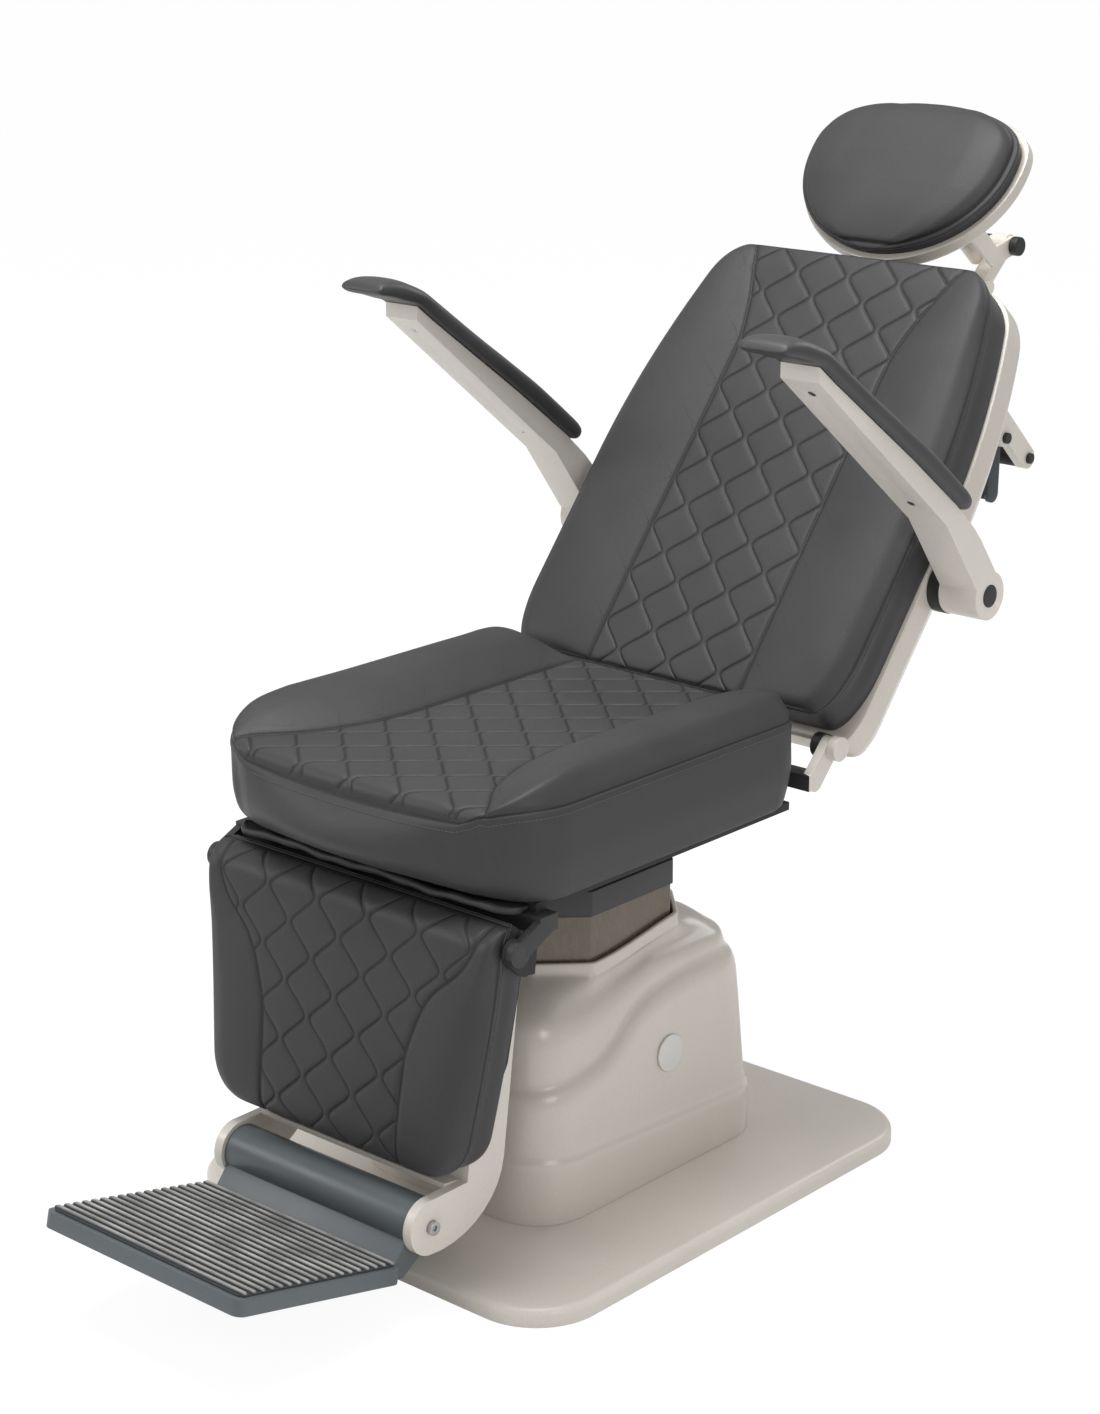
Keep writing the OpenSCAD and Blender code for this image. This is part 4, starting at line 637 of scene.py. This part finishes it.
def upholstered(name, body, node, place, form, phase, channel, edge_at, cap, bow=0.0):
    """Makes a cushion: forms it, swells it, divides it, sews its seams and quilting in, and sets it on its
    body. A channel of nought leaves it plain. Gives what its stitches need: the cover, form and place."""
    panel, heights = form[2:4]
    tacked_wide, quilt_tacked_wide = 0.006, 0.004
    edge_press, edge_groove = 0.0019, 0.0030
    seam_press, seam_groove = 0.0020, 0.0036
    quilt_groove, puff, puff_reach = 0.0027, 0.30, 0.010
    far_off = 0.05
    verts, faces, depth, loops = cushion(*form, bow=bow)
    mesh = bpy.data.meshes.new(name)
    mesh.from_pydata(verts.tolist(), [], faces)
    layer = mesh.attributes.new("laid", "FLOAT_VECTOR", "POINT")
    layer.data.foreach_set("vector", np.column_stack((verts[:, 0], verts[:, 1], depth)).reshape(-1))
    held = np.clip(1.15 * np.exp(-(np.abs(depth - edge_at) / tacked_wide) ** 2), 0, 1)
    if channel:
        seam_off = np.abs(np.abs(verts[:, 0]) - panel(verts[:, 1]))
        held = np.maximum(held, np.where(depth > 0, np.exp(-(seam_off / tacked_wide) ** 2), 0))
        inside = (np.abs(verts[:, 0]) < panel(verts[:, 1])) & (depth > 0)
        line = np.abs(zigzag(verts[:, 0], verts[:, 1], phase))
        held = np.maximum(held, np.where(inside, 0.9 * np.exp(-(line / quilt_tacked_wide) ** 2), 0))
    held = np.where(verts[:, 2] < 0.35 * heights[0], 1, held)
    swell(mesh, held, cap)
    mesh = divided(mesh)
    mended(mesh, close=True, outward=False)
    x, s, deep = read(mesh.attributes["laid"].data, "vector").T
    where, normal = read(mesh.vertices, "co"), read(mesh.vertex_normals, "vector")
    edge_line = deep - edge_at
    press = edge_press * np.exp(-(edge_line / edge_groove) ** 2)
    quilt_line = seam_line = np.full(len(x), far_off)
    if channel:
        on_top = np.clip(deep / 0.004, 0, 1)
        seam_line = np.where(deep > -0.002, np.abs(x) - panel(s), far_off)
        press = press + on_top * seam_press * np.exp(-(seam_line / seam_groove) ** 2)
        line = zigzag(x, s, phase)
        outside = np.clip(seam_line + 0.0005, 0, None) * 3 + np.clip(0.002 - deep, 0, None) * 3
        quilt_line = np.where(line < 0, -1, 1) * (np.abs(line) + outside)
        inner = on_top * np.clip(-seam_line / 0.004, 0, 1)
        rise = puff * (1 - np.exp(-(line / puff_reach) ** 2))
        press = press + inner * channel * (np.exp(-(line / quilt_groove) ** 2) - rise)
    mesh.vertices.foreach_set("co", (where - normal * press[:, None]).reshape(-1))
    lines = np.column_stack((quilt_line, seam_line, edge_line)).astype(np.float32)
    mesh.attributes.new("sewn", "FLOAT_VECTOR", "POINT").data.foreach_set("vector", lines.reshape(-1))
    mesh.attributes.remove(mesh.attributes["laid"])
    mesh.transform(place)
    mesh.update()
    shown(name, mesh, body, "grey_vinyl", node, material=grey, smooth=180)
    return mesh, verts, depth, loops, place


def node_group(title, sizes):
    """An empty Geometry Nodes tree with named inputs for its sizes and its finish, and its two end nodes."""
    group = bpy.data.node_groups.new(title, "GeometryNodeTree")
    for name, kind in (("Geometry", "Geometry"), *sizes, ("Finish", "Material")):
        group.interface.new_socket(name=name, in_out="INPUT", socket_type="NodeSocket" + kind)
    group.interface.new_socket(name="Geometry", in_out="OUTPUT", socket_type="NodeSocketGeometry")
    return group, group.nodes.new("NodeGroupInput"), group.nodes.new("NodeGroupOutput")


def set_out(group, entry, leave, points, shape):
    """Ends a tree: sets a shape at every point, makes the copies real and gives them the finish."""
    scatter = group.nodes.new("GeometryNodeInstanceOnPoints")
    real = group.nodes.new("GeometryNodeRealizeInstances")
    dress = group.nodes.new("GeometryNodeSetMaterial")
    for start, end in ((points, scatter.inputs["Points"]), (shape, scatter.inputs["Instance"]),
                       (scatter.outputs[0], real.inputs[0]), (real.outputs[0], dress.inputs["Geometry"]),
                       (entry.outputs["Finish"], dress.inputs["Material"]),
                       (dress.outputs[0], leave.inputs["Geometry"])):
        group.links.new(start, end)
    return scatter


def repeated(worker, group, values):
    """The plain mesh that a tree makes of a worker, with its named inputs set."""
    made = worker.modifiers.new(group.name, "NODES")
    made.node_group = group
    for item in group.interface.items_tree:
        if item.item_type == "SOCKET" and item.in_out == "INPUT" and item.name in values:
            made[item.identifier] = values[item.name]
    return made_plain(worker)


def edge_stitched(name, body, cushion_made, drop):
    """Real stitches all round a cushion's wall, at a drop below its edge. The tree sets a short thread at
    each step of a path that lies on the cover."""
    cover, verts, depth, loops, place = cushion_made
    tree = BVHTree.FromPolygons([v.co for v in cover.vertices], [p.vertices for p in cover.polygons])
    ladder = np.array([depth[ids] for ids in loops])
    rungs = np.array([verts[ids] for ids in loops])
    run = bpy.data.curves.new(name, "CURVE")
    run.dimensions = "3D"
    spline = run.splines.new("POLY")
    spline.points.add(ladder.shape[1] - 1)
    spline.use_cyclic_u = True
    for k, point in enumerate(spline.points):
        j = int(np.argmax(ladder[:, k] < -drop)) or 1
        a, b = ladder[j - 1, k], ladder[j, k]
        u = min(1, max(0, (-drop - a) / (b - a)))
        spot = place @ Vector(rungs[j - 1, k] * (1 - u) + rungs[j, k] * u)
        hit, normal, _, _ = tree.find_nearest(spot)
        point.co = (*(hit + normal * thread_radius * 0.45), 1)
    mesh = repeated(worker_of(name, run), stitch_tree,
                    {"Pitch": stitch_pitch, "Thread": thread_radius, "Finish": thread_finish})
    shown(name, mesh, body, "grey_vinyl", smooth=180)


thread_finish = finish("thread", (0.085, 0.085, 0.087), rough=(0.5, 0.6), patch=60, grain=2400, depth=0.00005)
stitch_pitch, thread_radius = 0.0048, 0.00055
stitch_tree, entry, leave = node_group("stitches", (("Pitch", "Float"), ("Thread", "Float")))
gn, wire = stitch_tree.nodes, stitch_tree.links
spaced = gn.new("GeometryNodeResampleCurve")
spaced.mode = "LENGTH"
wire.new(entry.outputs["Geometry"], spaced.inputs["Curve"])
wire.new(entry.outputs["Pitch"], spaced.inputs["Length"])
heading = gn.new("GeometryNodeInputTangent")
aim = gn.new("FunctionNodeAlignEulerToVector")
aim.axis = "Z"
wire.new(heading.outputs[0], aim.inputs["Vector"])
bead = gn.new("GeometryNodeMeshUVSphere")
bead.inputs["Segments"].default_value, bead.inputs["Rings"].default_value = 8, 6
wire.new(entry.outputs["Thread"], bead.inputs["Radius"])
scatter = set_out(stitch_tree, entry, leave, spaced.outputs[0], bead.outputs["Mesh"])
wire.new(aim.outputs[0], scatter.inputs["Rotation"])
scatter.inputs["Scale"].default_value = (1, 1, 4.2)

grey = vinyl("grey_vinyl_cover", (0.045, 0.045, 0.046))


seat_length, draw, quilt_start = 0.506, 0.005, -0.0175


def seat_half(s):
    return 0.250 - corner_cut(s, 0.085, 0.090) - corner_cut(seat_length - s, 0.050, 0.050)


def seat_panel(s):
    return 0.255 * curve([[0, 0.78], [0.02, 0.76], [0.13, 0.6], [0.22, 0.52], [0.33, 0.46], [0.43, 0.44],
                          [1, 0.44]], np.asarray(s) / seat_length)


seat_form = (seat_length, seat_half, seat_panel, (0.112, 0.032, 0.112, 0.023), (0.060, 0.060, 0),
             ((1, 0, 0, 0, 0), (0.75, 0, 0.014, 0, 0), (0.48, 0, 0.020, 0, draw / 2),
              (0.2, -draw, 0, -draw, 0), (0, -2 * draw, -0.031, -0.031, -draw)))
edge_stitched("seat_edge_stitches", "seat",
              upholstered("seat_pad", "seat", "seat_cushion", Matrix.Translation((0, -0.353, 0.476)),
                          seat_form, 0.048 + quilt_start, 0.0012, 0.0, 0.006, 0.016), 0.0095)

# Back cushion. The same foam and vinyl on the back board: a flat quilted panel between firm side bolsters, a
# boxing strip down each side, and a little waist where it narrows towards the head.
back_place = (Matrix.Translation((0, 0.205, 0.535)) @ Matrix.Rotation(math.radians(-39.5), 4, "X"))
lie_on_back = Matrix.Rotation(math.radians(90), 4, "X")


back_length = 0.619


def waisted(s, length, foot_cut):
    """Half the width of the back from its foot to its head, with the corners cut off."""
    t = np.clip((np.asarray(s) - length + back_length) / back_length - 0.45, 0, None) / 0.55
    return 0.262 - 0.056 * t * t - corner_cut(s, *foot_cut) - corner_cut(length - s, 0.040, 0.055)


def back_half(s):
    return waisted(s, back_length, (0.034, 0.090))


def back_panel(s):
    return 0.262 * curve([[0, 0.46], [0.75, 0.45], [0.84, 0.49], [0.92, 0.555], [1, 0.63]],
                         np.asarray(s) / back_length)


back_form = (back_length, back_half, back_panel, (0.066, 0.011, 0.060, 0), (0.060, 0.060, 0),
             ((1, 0, 0, 0, 0), (0.66, -draw, -draw, -draw, -draw),
              (0.3, -draw / 2, -draw / 2, -draw / 2, -draw), (0, -draw, -draw, -draw, -draw)))
edge_stitched("back_edge_stitches", "back",
              upholstered("back_pad", "back", "back_cushion",
                          back_place @ Matrix.Translation((0, 0.016, 0.019)) @ lie_on_back, back_form,
                          0.004 + quilt_start, 0.0011, 0.0, 0.0032), 0.0095)

# Legrest cushion. A tapering pad quilted like the seat, whose upper end is rolled round the hinge, so that it
# keeps clear of the seat when the legrest is raised.
leg_place = Matrix.Translation((0, -0.343, 0.434)) @ Matrix.Rotation(math.radians(-7.8), 4, "X")


leg_length, leg_axle_up, leg_roll = 0.307, 0.279, 0.028


def leg_half(s):
    s = np.asarray(s)
    return (0.228 - 0.030 * (1 - np.clip(s / leg_axle_up, 0, 1)) ** 1.4 - corner_cut(s, 0.055, 0.055)
            - corner_cut(leg_length - s, draw, draw))


def leg_panel(s):
    return 0.228 * curve([[0, 0.478], [0.2, 0.483], [0.42, 0.5], [0.56, 0.55], [0.68, 0.63], [0.82, 0.82],
                          [0.9, 0.88], [1, 0.91]], np.asarray(s) / leg_length)


leg_form = (leg_length, leg_half, leg_panel, (0.062, draw / 2, 0.041, 0), (0.060, 0.060, leg_roll),
            ((1, 0, 0, 0, 0), (0.66, -draw, -draw, -draw, -0.06 * leg_roll),
             (0.33, -draw / 2, -draw, -draw, -0.26 * leg_roll), (0, -draw, -draw, -draw, -leg_roll)))
edge_stitched("legrest_edge_stitches", "legrest",
              upholstered("legrest_pad", "legrest", "legrest_cushion",
                          leg_place @ Matrix.Translation((0, leg_roll, -leg_axle_up)) @ lie_on_back, leg_form,
                          0.015 + quilt_start, 0.0011, 0.0, 0.004), 0.0085)

# Headrest cushion. A small shield-shaped pad, fullest across its upper half, with a top-stitched seam that
# follows its outline a little way in from the edge.
head_length, head_widest, head_up = 0.222, 0.62, 0.652


def head_half(s):
    t = np.asarray(s) / head_length
    low = np.sqrt(np.clip(1 - (np.clip(head_widest - t, 0, None) / head_widest) ** 2, 0, 1))
    high = np.sqrt(np.clip(1 - (np.clip(t - head_widest, 0, None) / (1 - head_widest)) ** 3, 0, 1))
    return 0.158 * np.maximum(0.05, np.minimum(low, high))


def no_panel(s):
    return np.zeros_like(s)


head_form = (head_length, head_half, no_panel, (0.052, 0, 0.030, 0), (0.089, 0.089, 0),
             ((1, 0, 0, 0, 0), (0.6, -draw / 4, -draw / 4, -draw / 4, -draw / 4),
              (0, -draw, -draw, -draw, -draw)))
edge_stitched("headrest_stitches", "headrest",
              upholstered("headrest_pad", "headrest", "headrest_cushion",
                          back_place @ Matrix.Translation((0, -0.009, head_up)) @ lie_on_back, head_form,
                          0, 0, 0.005, 0.003), 0.0025)

# Arm pads. Soft black-grey skin foam on a steel strip, flat below and crowned above, that droops over the
# arm's front end; each is screwed to its arm from below.
def arm_place(side):
    return back_place @ Matrix.Translation((side * 0.306, 0.047, 0.249))


# How far along the arm each section of a pad stands, and its underside, its top and its width there.
pad_rows = np.array([[0.246, 1.17, 1.45, 0.8], [0.258, 1.05, 1.5, 0.94], [0.281, 1.01, 1.53, 1],
                     [0.451, 0.956, 1.51, 1], [0.624, 0.865, 1.39, 1], [0.778, 0.768, 1.26, 1],
                     [0.873, 0.71, 1.2, 1], [0.936, 0.672, 1.16, 1], [1.002, 0.655, 1.11, 1],
                     [1.04, 0.5, 1.01, 1], [1.081, 0.345, 0.88, 0.99], [1.112, 0.21, 0.72, 0.98],
                     [1.137, 0.1, 0.53, 0.95], [1.152, 0.11, 0.3, 0.9]])
pad_section = [(0.30, -0.02), (0.75, -0.01), (0.95, 0.06), (1.0, 0.35), (0.965, 0.70), (0.80, 0.92),
               (0.50, 1.01), (0.18, 1.04)]
pad_reach, pad_half, pad_tall = 0.481, 0.037, 0.048
places = np.concatenate(([0.246, 0.249, 0.254], np.linspace(0.262, 1.10, 44),
                         [1.112, 1.125, 1.137, 1.146, 1.152]))
pad_verts = []
for p in places:
    low, high, wide = (curve(pad_rows[:, (0, k)], p) for k in (1, 2, 3))
    side = [(pad_half * wide * a, -pad_reach * p, pad_tall * (low + (high - low) * b))
            for a, b in pad_section]
    pad_verts += side + [(-x, y, z) for x, y, z in reversed(side)]
skin_foam = finish("skin_foam", (0.044, 0.044, 0.045), shades=(0.88, 1.15), rough=(0.4, 0.52), patch=12,
                   grain=900, depth=0.00012, cells=True)
for side, label in ((-1, "left"), (1, "right")):
    mesh = bpy.data.meshes.new("arm_pad_" + label)
    mesh.from_pydata(pad_verts, [], tube(len(places), 2 * len(pad_section), capped=True))
    mesh = divided(mesh, 2)
    mesh.transform(arm_place(side))
    mended(mesh)
    shown("arm_rest_" + label, mesh, "arm_" + label, "grey_vinyl", "arm_pad_" + label,
                    material=skin_foam, smooth=180)

# Arms. Cast aluminium brackets with soft edges in the same warm coat, that turn up on a shaft through the
# back. A black cap closes the bore, and two screws hold each pad from below.
casting = finish("cream_casting", (0.745, 0.700, 0.638), rough=(0.33, 0.42), grain=420, depth=0.00005,
                 worn=0.2, coat=0.12)
black = finish("black_moulding", (0.016, 0.016, 0.017), shades=(0.85, 1.2), rough=(0.42, 0.55), grain=900,
               depth=0.00006)
metal = finish("bright_steel", (0.52, 0.52, 0.53), shades=(0.85, 1.1), rough=(0.24, 0.36), patch=30,
               grain=500, depth=0.00004, metal=1.0, stretch=(1, 1, 9))
for label in ("left", "right"):
    for name, node, radius, slot, coat in (("arm_casting_", "arm_bracket_", 0.0035, "cream_casting", casting),
                                           ("arm_cover_", "arm_cap_", 0.0007, "black_plastic", black)):
        shown(name + label, softened(node + label, radius), "arm_" + label, slot, node + label, material=coat)

# Back shell. A formed shell in satin beige that hugs the back board, with an upright side wall and a domed
# rear. Its foot corners are fuller than the cushion's.
shell_rise = [[0, 0.036], [0.003, 0.045], [0.008, 0.053], [0.016, 0.061], [0.032, 0.072], [0.055, 0.087],
              [0.080, 0.101], [0.115, 0.112], [0.25, 0.116]]


shell_length = 0.630
moulded_wall = ((1, 0, 0, 0, 0), (0.5, 0, 0, 0, 0), (0, 0, 0, 0, 0))
turn_round = Matrix(((-1, 0, 0, 0), (0, 0, 1, 0), (0, 1, 0, 0), (0, 0, 0, 1)))


def shell_half(s):
    return waisted(s, shell_length, (0.022, 0.050))


def formed(name, node, body, place, form, crown, pitch=0.011):
    """A vacuum-formed shell: a form like a cushion's, turned round, with its own rise from the rim."""
    verts, faces, _, _ = cushion(*form, crown=crown, pitch=pitch)
    mesh = bpy.data.meshes.new(name)
    mesh.from_pydata(verts.tolist(), [], faces)
    mesh = divided(mesh)
    mesh.transform(back_place @ Matrix.Translation(place) @ turn_round)
    mended(mesh, close=True)
    shown(name, mesh, body, "cream_moulding", node, material=moulding, smooth=50)


formed("back_shell_form", "back_shell", "back", (0, 0.012, 0.008),
       (shell_length, shell_half, no_panel, (0.1, 0, 0.034, 0), (0.06, 0.06, 0), moulded_wall), shell_rise)

# Headrest shell. A shallow dish of the same moulding behind the headrest cushion, with a thin rim round it.
# The blade carries it from behind.
dish_length, dish_spread = 0.234, 1.038


def dish_half(s):
    return head_half(np.clip(np.asarray(s), 0, dish_length) * head_length / dish_length) * dish_spread


formed("headrest_dish", "headrest_shell", "headrest", (0, -0.009 - 0.014, head_up - 0.006),
       (dish_length, dish_half, no_panel, (0.04, 0, 0.018, 0), (0.06, 0.06, 0), moulded_wall),
       [[0, 0.016], [0.004, 0.020], [0.012, 0.025], [0.035, 0.034], [0.07, 0.041], [0.15, 0.043]],
       pitch=0.008)

# Metalwork of the back. The push handle, its two arms, the release lever under it, the headrest's guide, post
# and blade: bent and welded steel in the same coat, with black grips, knobs and bolts. The lock hubs at the
# back's pivot are bored a little deeper than the pins reach.
slate = finish("slate_coat", (0.035, 0.044, 0.054), shades=(0.9, 1.1), rough=(0.32, 0.44), grain=500,
               depth=0.00005, worn=0.2)
rubber = finish("grip_rubber", (0.014, 0.014, 0.015), shades=(0.85, 1.25), rough=(0.5, 0.66), patch=20,
                grain=1100, depth=0.00016, cells=True)
end_play = 0.0003
for node, radius, body, slot, coat in (("handle_arms", 0.0022, "back", "cream_paint", cream),
                                       ("headrest_guide", 0.0018, "back", "cream_paint", cream),
                                       ("recline_lock", 0.0016, "seat", "cream_paint", cream),
                                       ("headrest_post", 0.0022, "headrest_post", "cream_paint", cream),
                                       ("headrest_blade", 0.0016, "headrest", "cream_paint", cream),
                                       ("lever_arms", 0.0012, "lever", "slate_blue", slate),
                                       ("handle_grip", 0.0008, "back", "black_tube", rubber),
                                       ("lever_tube", 0.001, "lever", "black_tube", rubber),
                                       ("headrest_knobs", 0.0022, "headrest", "black_plastic", black),
                                       ("handle_bolts", 0.0012, "back", "black_plastic", black)):
    mesh = softened(node, radius)
    if node == "recline_lock":
        pin_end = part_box("recline_pins")[1][0]
        for point in mesh.vertices:
            if abs(abs(point.co.x) - pin_end) < 0.0002:
                point.co.x *= 1 + end_play / pin_end
    shown(node + "_made", mesh, body, slot, node, material=coat)

# Legrest frame. Two thick side plates with softly rounded rims, a cross panel with a lip, and the knuckles
# that the footrest turns in.
shown("legrest_plates", softened("legrest_frame", 0.0038), "legrest", "cream_paint", "legrest_frame",
      material=cream)
shown("knuckle_bolts", softened("footrest_bolts", 0.0008), "legrest", "steel", "footrest_bolts",
      material=metal)

# Legrest board. The painted board that carries the legrest cushion. Its lower corners are drawn in, so that
# it stays inside the cushion's narrowing outline.
board_mesh, narrowing, setback = softened("legrest_panel", 0.0012), -0.20, 0.012
for point in board_mesh.vertices:
    spot = leg_place.inverted() @ point.co
    if spot.z < narrowing:
        spot.x = math.copysign(min(abs(spot.x), float(leg_half(spot.z + leg_axle_up)) - setback), spot.x)
        point.co = leg_place @ spot
board = finish("board_paint", (0.020, 0.020, 0.021), shades=(0.8, 1.2), rough=(0.6, 0.75), patch=8, grain=90,
               depth=0.0002, stretch=(1, 14, 1))
shown("legrest_board", board_mesh, "legrest", "board", "legrest_panel", material=board)

# Hinge flap. A strip of the same vinyl, hemmed over a round welt, that is tacked to the seat board and covers
# the gap above the legrest.
low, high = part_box("hinge_flap")
half_sheet, flap_half = 0.0016, 0.985 * (high[0] - 0.004)
flap = []
wide = np.linspace(-1, 1, 91)
for u in wide:
    z = (low[2] + high[2]) / 2 + 0.0014 * math.sin(9 * u + 0.6) + 0.0008 * math.sin(23 * u) - 0.001
    y = low[1] + 1.8 * max(0, abs(u) - 0.9) ** 2
    over, under = z + half_sheet, z - half_sheet
    bead = 0.0050 + 0.0005 * math.sin(31 * u)
    section = [(high[1], over), (y + 0.022, over), (y + 0.013, over + 0.001)]
    section += [(y + 0.0065 + bead * math.cos(a), z - 0.0005 + bead * math.sin(a))
                for a in np.radians(np.arange(50, 331, 28))]
    section += [(y + 0.014, under - 0.001), (y + 0.022, under), (high[1], under)]
    flap += [(flap_half * u, a, b) for a, b in section]
mesh = bpy.data.meshes.new("flap")
mesh.from_pydata(flap, [], tube(len(wide), len(section), capped=True))
fold = finish("flap_vinyl", (0.036, 0.036, 0.037), shades=(0.85, 1.15), rough=(0.44, 0.56), patch=14,
              grain=620, depth=0.0002, cells=True)
mesh = divided(mesh)
mended(mesh)
shown("flap_welt", mesh, "seat", "grey_vinyl", "hinge_flap", material=fold, smooth=180)

# Footrest. A slate-coloured aluminium casting: a flat tread, a short neck, and the round barrel that turns
# between the legrest's knuckles.
slate_cast = finish("footrest_coat", (0.100, 0.115, 0.122), shades=(0.9, 1.1), rough=(0.34, 0.46), grain=480,
                    depth=0.00006, worn=0.3)
shown("footrest_cast", softened("footrest", 0.0032), "footrest", "footrest_slate", "footrest",
      material=slate_cast)

# Footrest mat. Eighteen moulded ribs on a thin plate that is glued on the tread. The crests show the mat's
# pale colour, and painted shade darkens the ribs' sides and the grooves between them.
foot_place = leg_place @ Matrix.Translation((0, -0.016, -0.333)) @ Matrix.Rotation(math.radians(-5.4), 4, "X")
mat_half, mat_deep, mat_front, rib_count = 0.154, 0.236, -0.035 - 0.248 + 0.006, 18
rib_pitch = mat_deep / rib_count
rib_top = finish("rib_groove_shaded", (0.40, 0.385, 0.36), shades=(0.55, 1.15), rough=(0.5, 0.7), patch=26, grain=600,
                 depth=0.00012)
rib_nodes, rib_links = rib_top.node_tree.nodes, rib_top.node_tree.links
crest = rib_nodes.new("ShaderNodeAttribute")
crest.attribute_name = "crest"
toned = rib_nodes.new("ShaderNodeMix")
toned.data_type = "RGBA"
# Painted shade: where the crest attribute is nought, on the ribs' sides and the plate between them, the
# colour is near black.
toned.inputs["A"].default_value = (0.045, 0.050, 0.056, 1)
base_colour = rib_nodes["Principled BSDF"].inputs["Base Color"]
rib_links.new(crest.outputs["Fac"], toned.inputs["Factor"])
rib_links.new(base_colour.links[0].from_socket, toned.inputs["B"])
rib_links.new(toned.outputs["Result"], base_colour)
rib = bpy.data.meshes.new("rib")
section = [(-0.0036, -0.0004, 0), (-0.0036, 0.0020, 0), (-0.0030, 0.0030, 0.4), (-0.0018, 0.0035, 1),
           (0.0018, 0.0035, 1), (0.0030, 0.0030, 0.4), (0.0036, 0.0020, 0), (0.0036, -0.0004, 0)]
stations = [(-mat_half, 0.5), (-0.1535, 0.8), (-0.1515, 1), (0.1515, 1), (0.1535, 0.8), (mat_half, 0.5)]
rib.from_pydata([(x, a * (0.5 + 0.5 * k), b * k) for x, k in stations for a, b, _ in section], [],
                tube(len(stations), len(section), capped=True))
unshaded_share = rib.attributes.new("crest", "FLOAT", "POINT")
unshaded_share.data.foreach_set("value", [w for _ in stations for _, _, w in section])
rib_tree, entry, leave = node_group("ribs", (("Count", "Int"), ("Pitch", "Float")))
gn, wire = rib_tree.nodes, rib_tree.links
row = gn.new("GeometryNodeMeshLine")
step = gn.new("ShaderNodeCombineXYZ")
wire.new(entry.outputs["Count"], row.inputs["Count"])
wire.new(entry.outputs["Pitch"], step.inputs["Y"])
wire.new(step.outputs[0], row.inputs["Offset"])
set_out(rib_tree, entry, leave, row.outputs[0], entry.outputs["Geometry"])
mesh = repeated(worker_of("ribs", rib), rib_tree, {"Count": rib_count, "Pitch": rib_pitch, "Finish": rib_top})
mesh.transform(foot_place @ Matrix.Translation((0, mat_front + 0.5 * rib_pitch, -0.0395)))
mat_plate = bpy.data.meshes.new("mat_plate")
edge = rounded(2 * mat_half, mat_deep, 0.009, 0, 10)
mat_plate.from_pydata([(x, y, z) for z in (0, 0.002) for x, y in edge], [], tube(2, len(edge), capped=True))
mat_plate.attributes.new("crest", "FLOAT", "POINT")
mat_plate.transform(foot_place @ Matrix.Translation((0, -0.035 - 0.124, -0.0415)))
joined = bmesh.new()
for part in (mesh, mat_plate):
    joined.from_mesh(part)
joined.to_mesh(mesh)
joined.free()
shown("tread_ribs", mesh, "footrest", "rib_mat", "footrest_ribs", material=rib_top)

# Lift and the frame under the seat. The telescopic shroud is folded sheet in a brown-grey coat with a fine
# upright grain, and the upright streaks in its colour are painted reflection. A dark collar tops it. The
# turntable and the rails above are painted dark, and the rails' two rear ears, which stand outside the
# cushion, have the cream coat of the lock hubs.
shroud_coat = finish("shroud_coat", (0.150, 0.124, 0.097), shades=(0.72, 1.2), rough=(0.20, 0.32), patch=7,
                     grain=240, depth=0.00003, stretch=(6, 6, 0.25), metal=0.35, reflection_streak=0.22)
collar_coat = finish("collar_coat", (0.034, 0.034, 0.035), rough=(0.36, 0.48), grain=700, depth=0.00006)
dark = finish("dark_coat", (0.026, 0.026, 0.027), shades=(0.85, 1.15), rough=(0.42, 0.56), grain=460,
              depth=0.00006, worn=0.2)
pump = finish("pump_coat", (0.055, 0.070, 0.086), rough=(0.4, 0.5), grain=420, depth=0.00006)
shown("shroud_sheet", softened("column_shroud", 0.0014), "lift", "shroud_brown", "column_shroud",
      material=shroud_coat)
shown("collar_band", softened("shroud_collar", 0.0016), "lift", "collar_grey", "shroud_collar",
      material=collar_coat)
ear_rear, ear_side = 0.16, 0.236
rails = shown("frame_rails", softened("seat_frame", 0.0016), "seat", "dark_steel", "seat_frame",
              material=dark)
rails.data.materials.append(cream)
for face in rails.data.polygons:
    if face.center.y > ear_rear and abs(face.center.x) > ear_side:
        face.material_index = 1
shown("turntable_plate", softened("turntable", 0.0010), "seat", "dark_steel", "turntable", material=dark)

# Every CAD part that is shown as it is: bolts, pins, shafts, tubes, boards and the pump. Each has the finish
# of its own material slot, except the legrest's axle, which takes the dark coat.
coats = {"cream_paint": cream, "cream_casting": casting, "cream_moulding": moulding, "badge": badge_face,
         "steel": metal, "dark_steel": dark, "dark_alloy": dark, "black_plastic": black, "black_tube": rubber,
         "board": board, "shroud_brown": shroud_coat, "collar_grey": collar_coat, "pump_grey": pump,
         "slate_blue": slate, "footrest_slate": slate_cast, "rib_mat": rib_top, "grey_vinyl": fold}
for part in frame["record"]["subparts"]:
    carried = frame["nodes"][part["node"]]
    for holder in carried.material_slots:
        holder.material = dark if part["node"] == "legrest_axle" else coats[part["material_slot"]]

low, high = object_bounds()
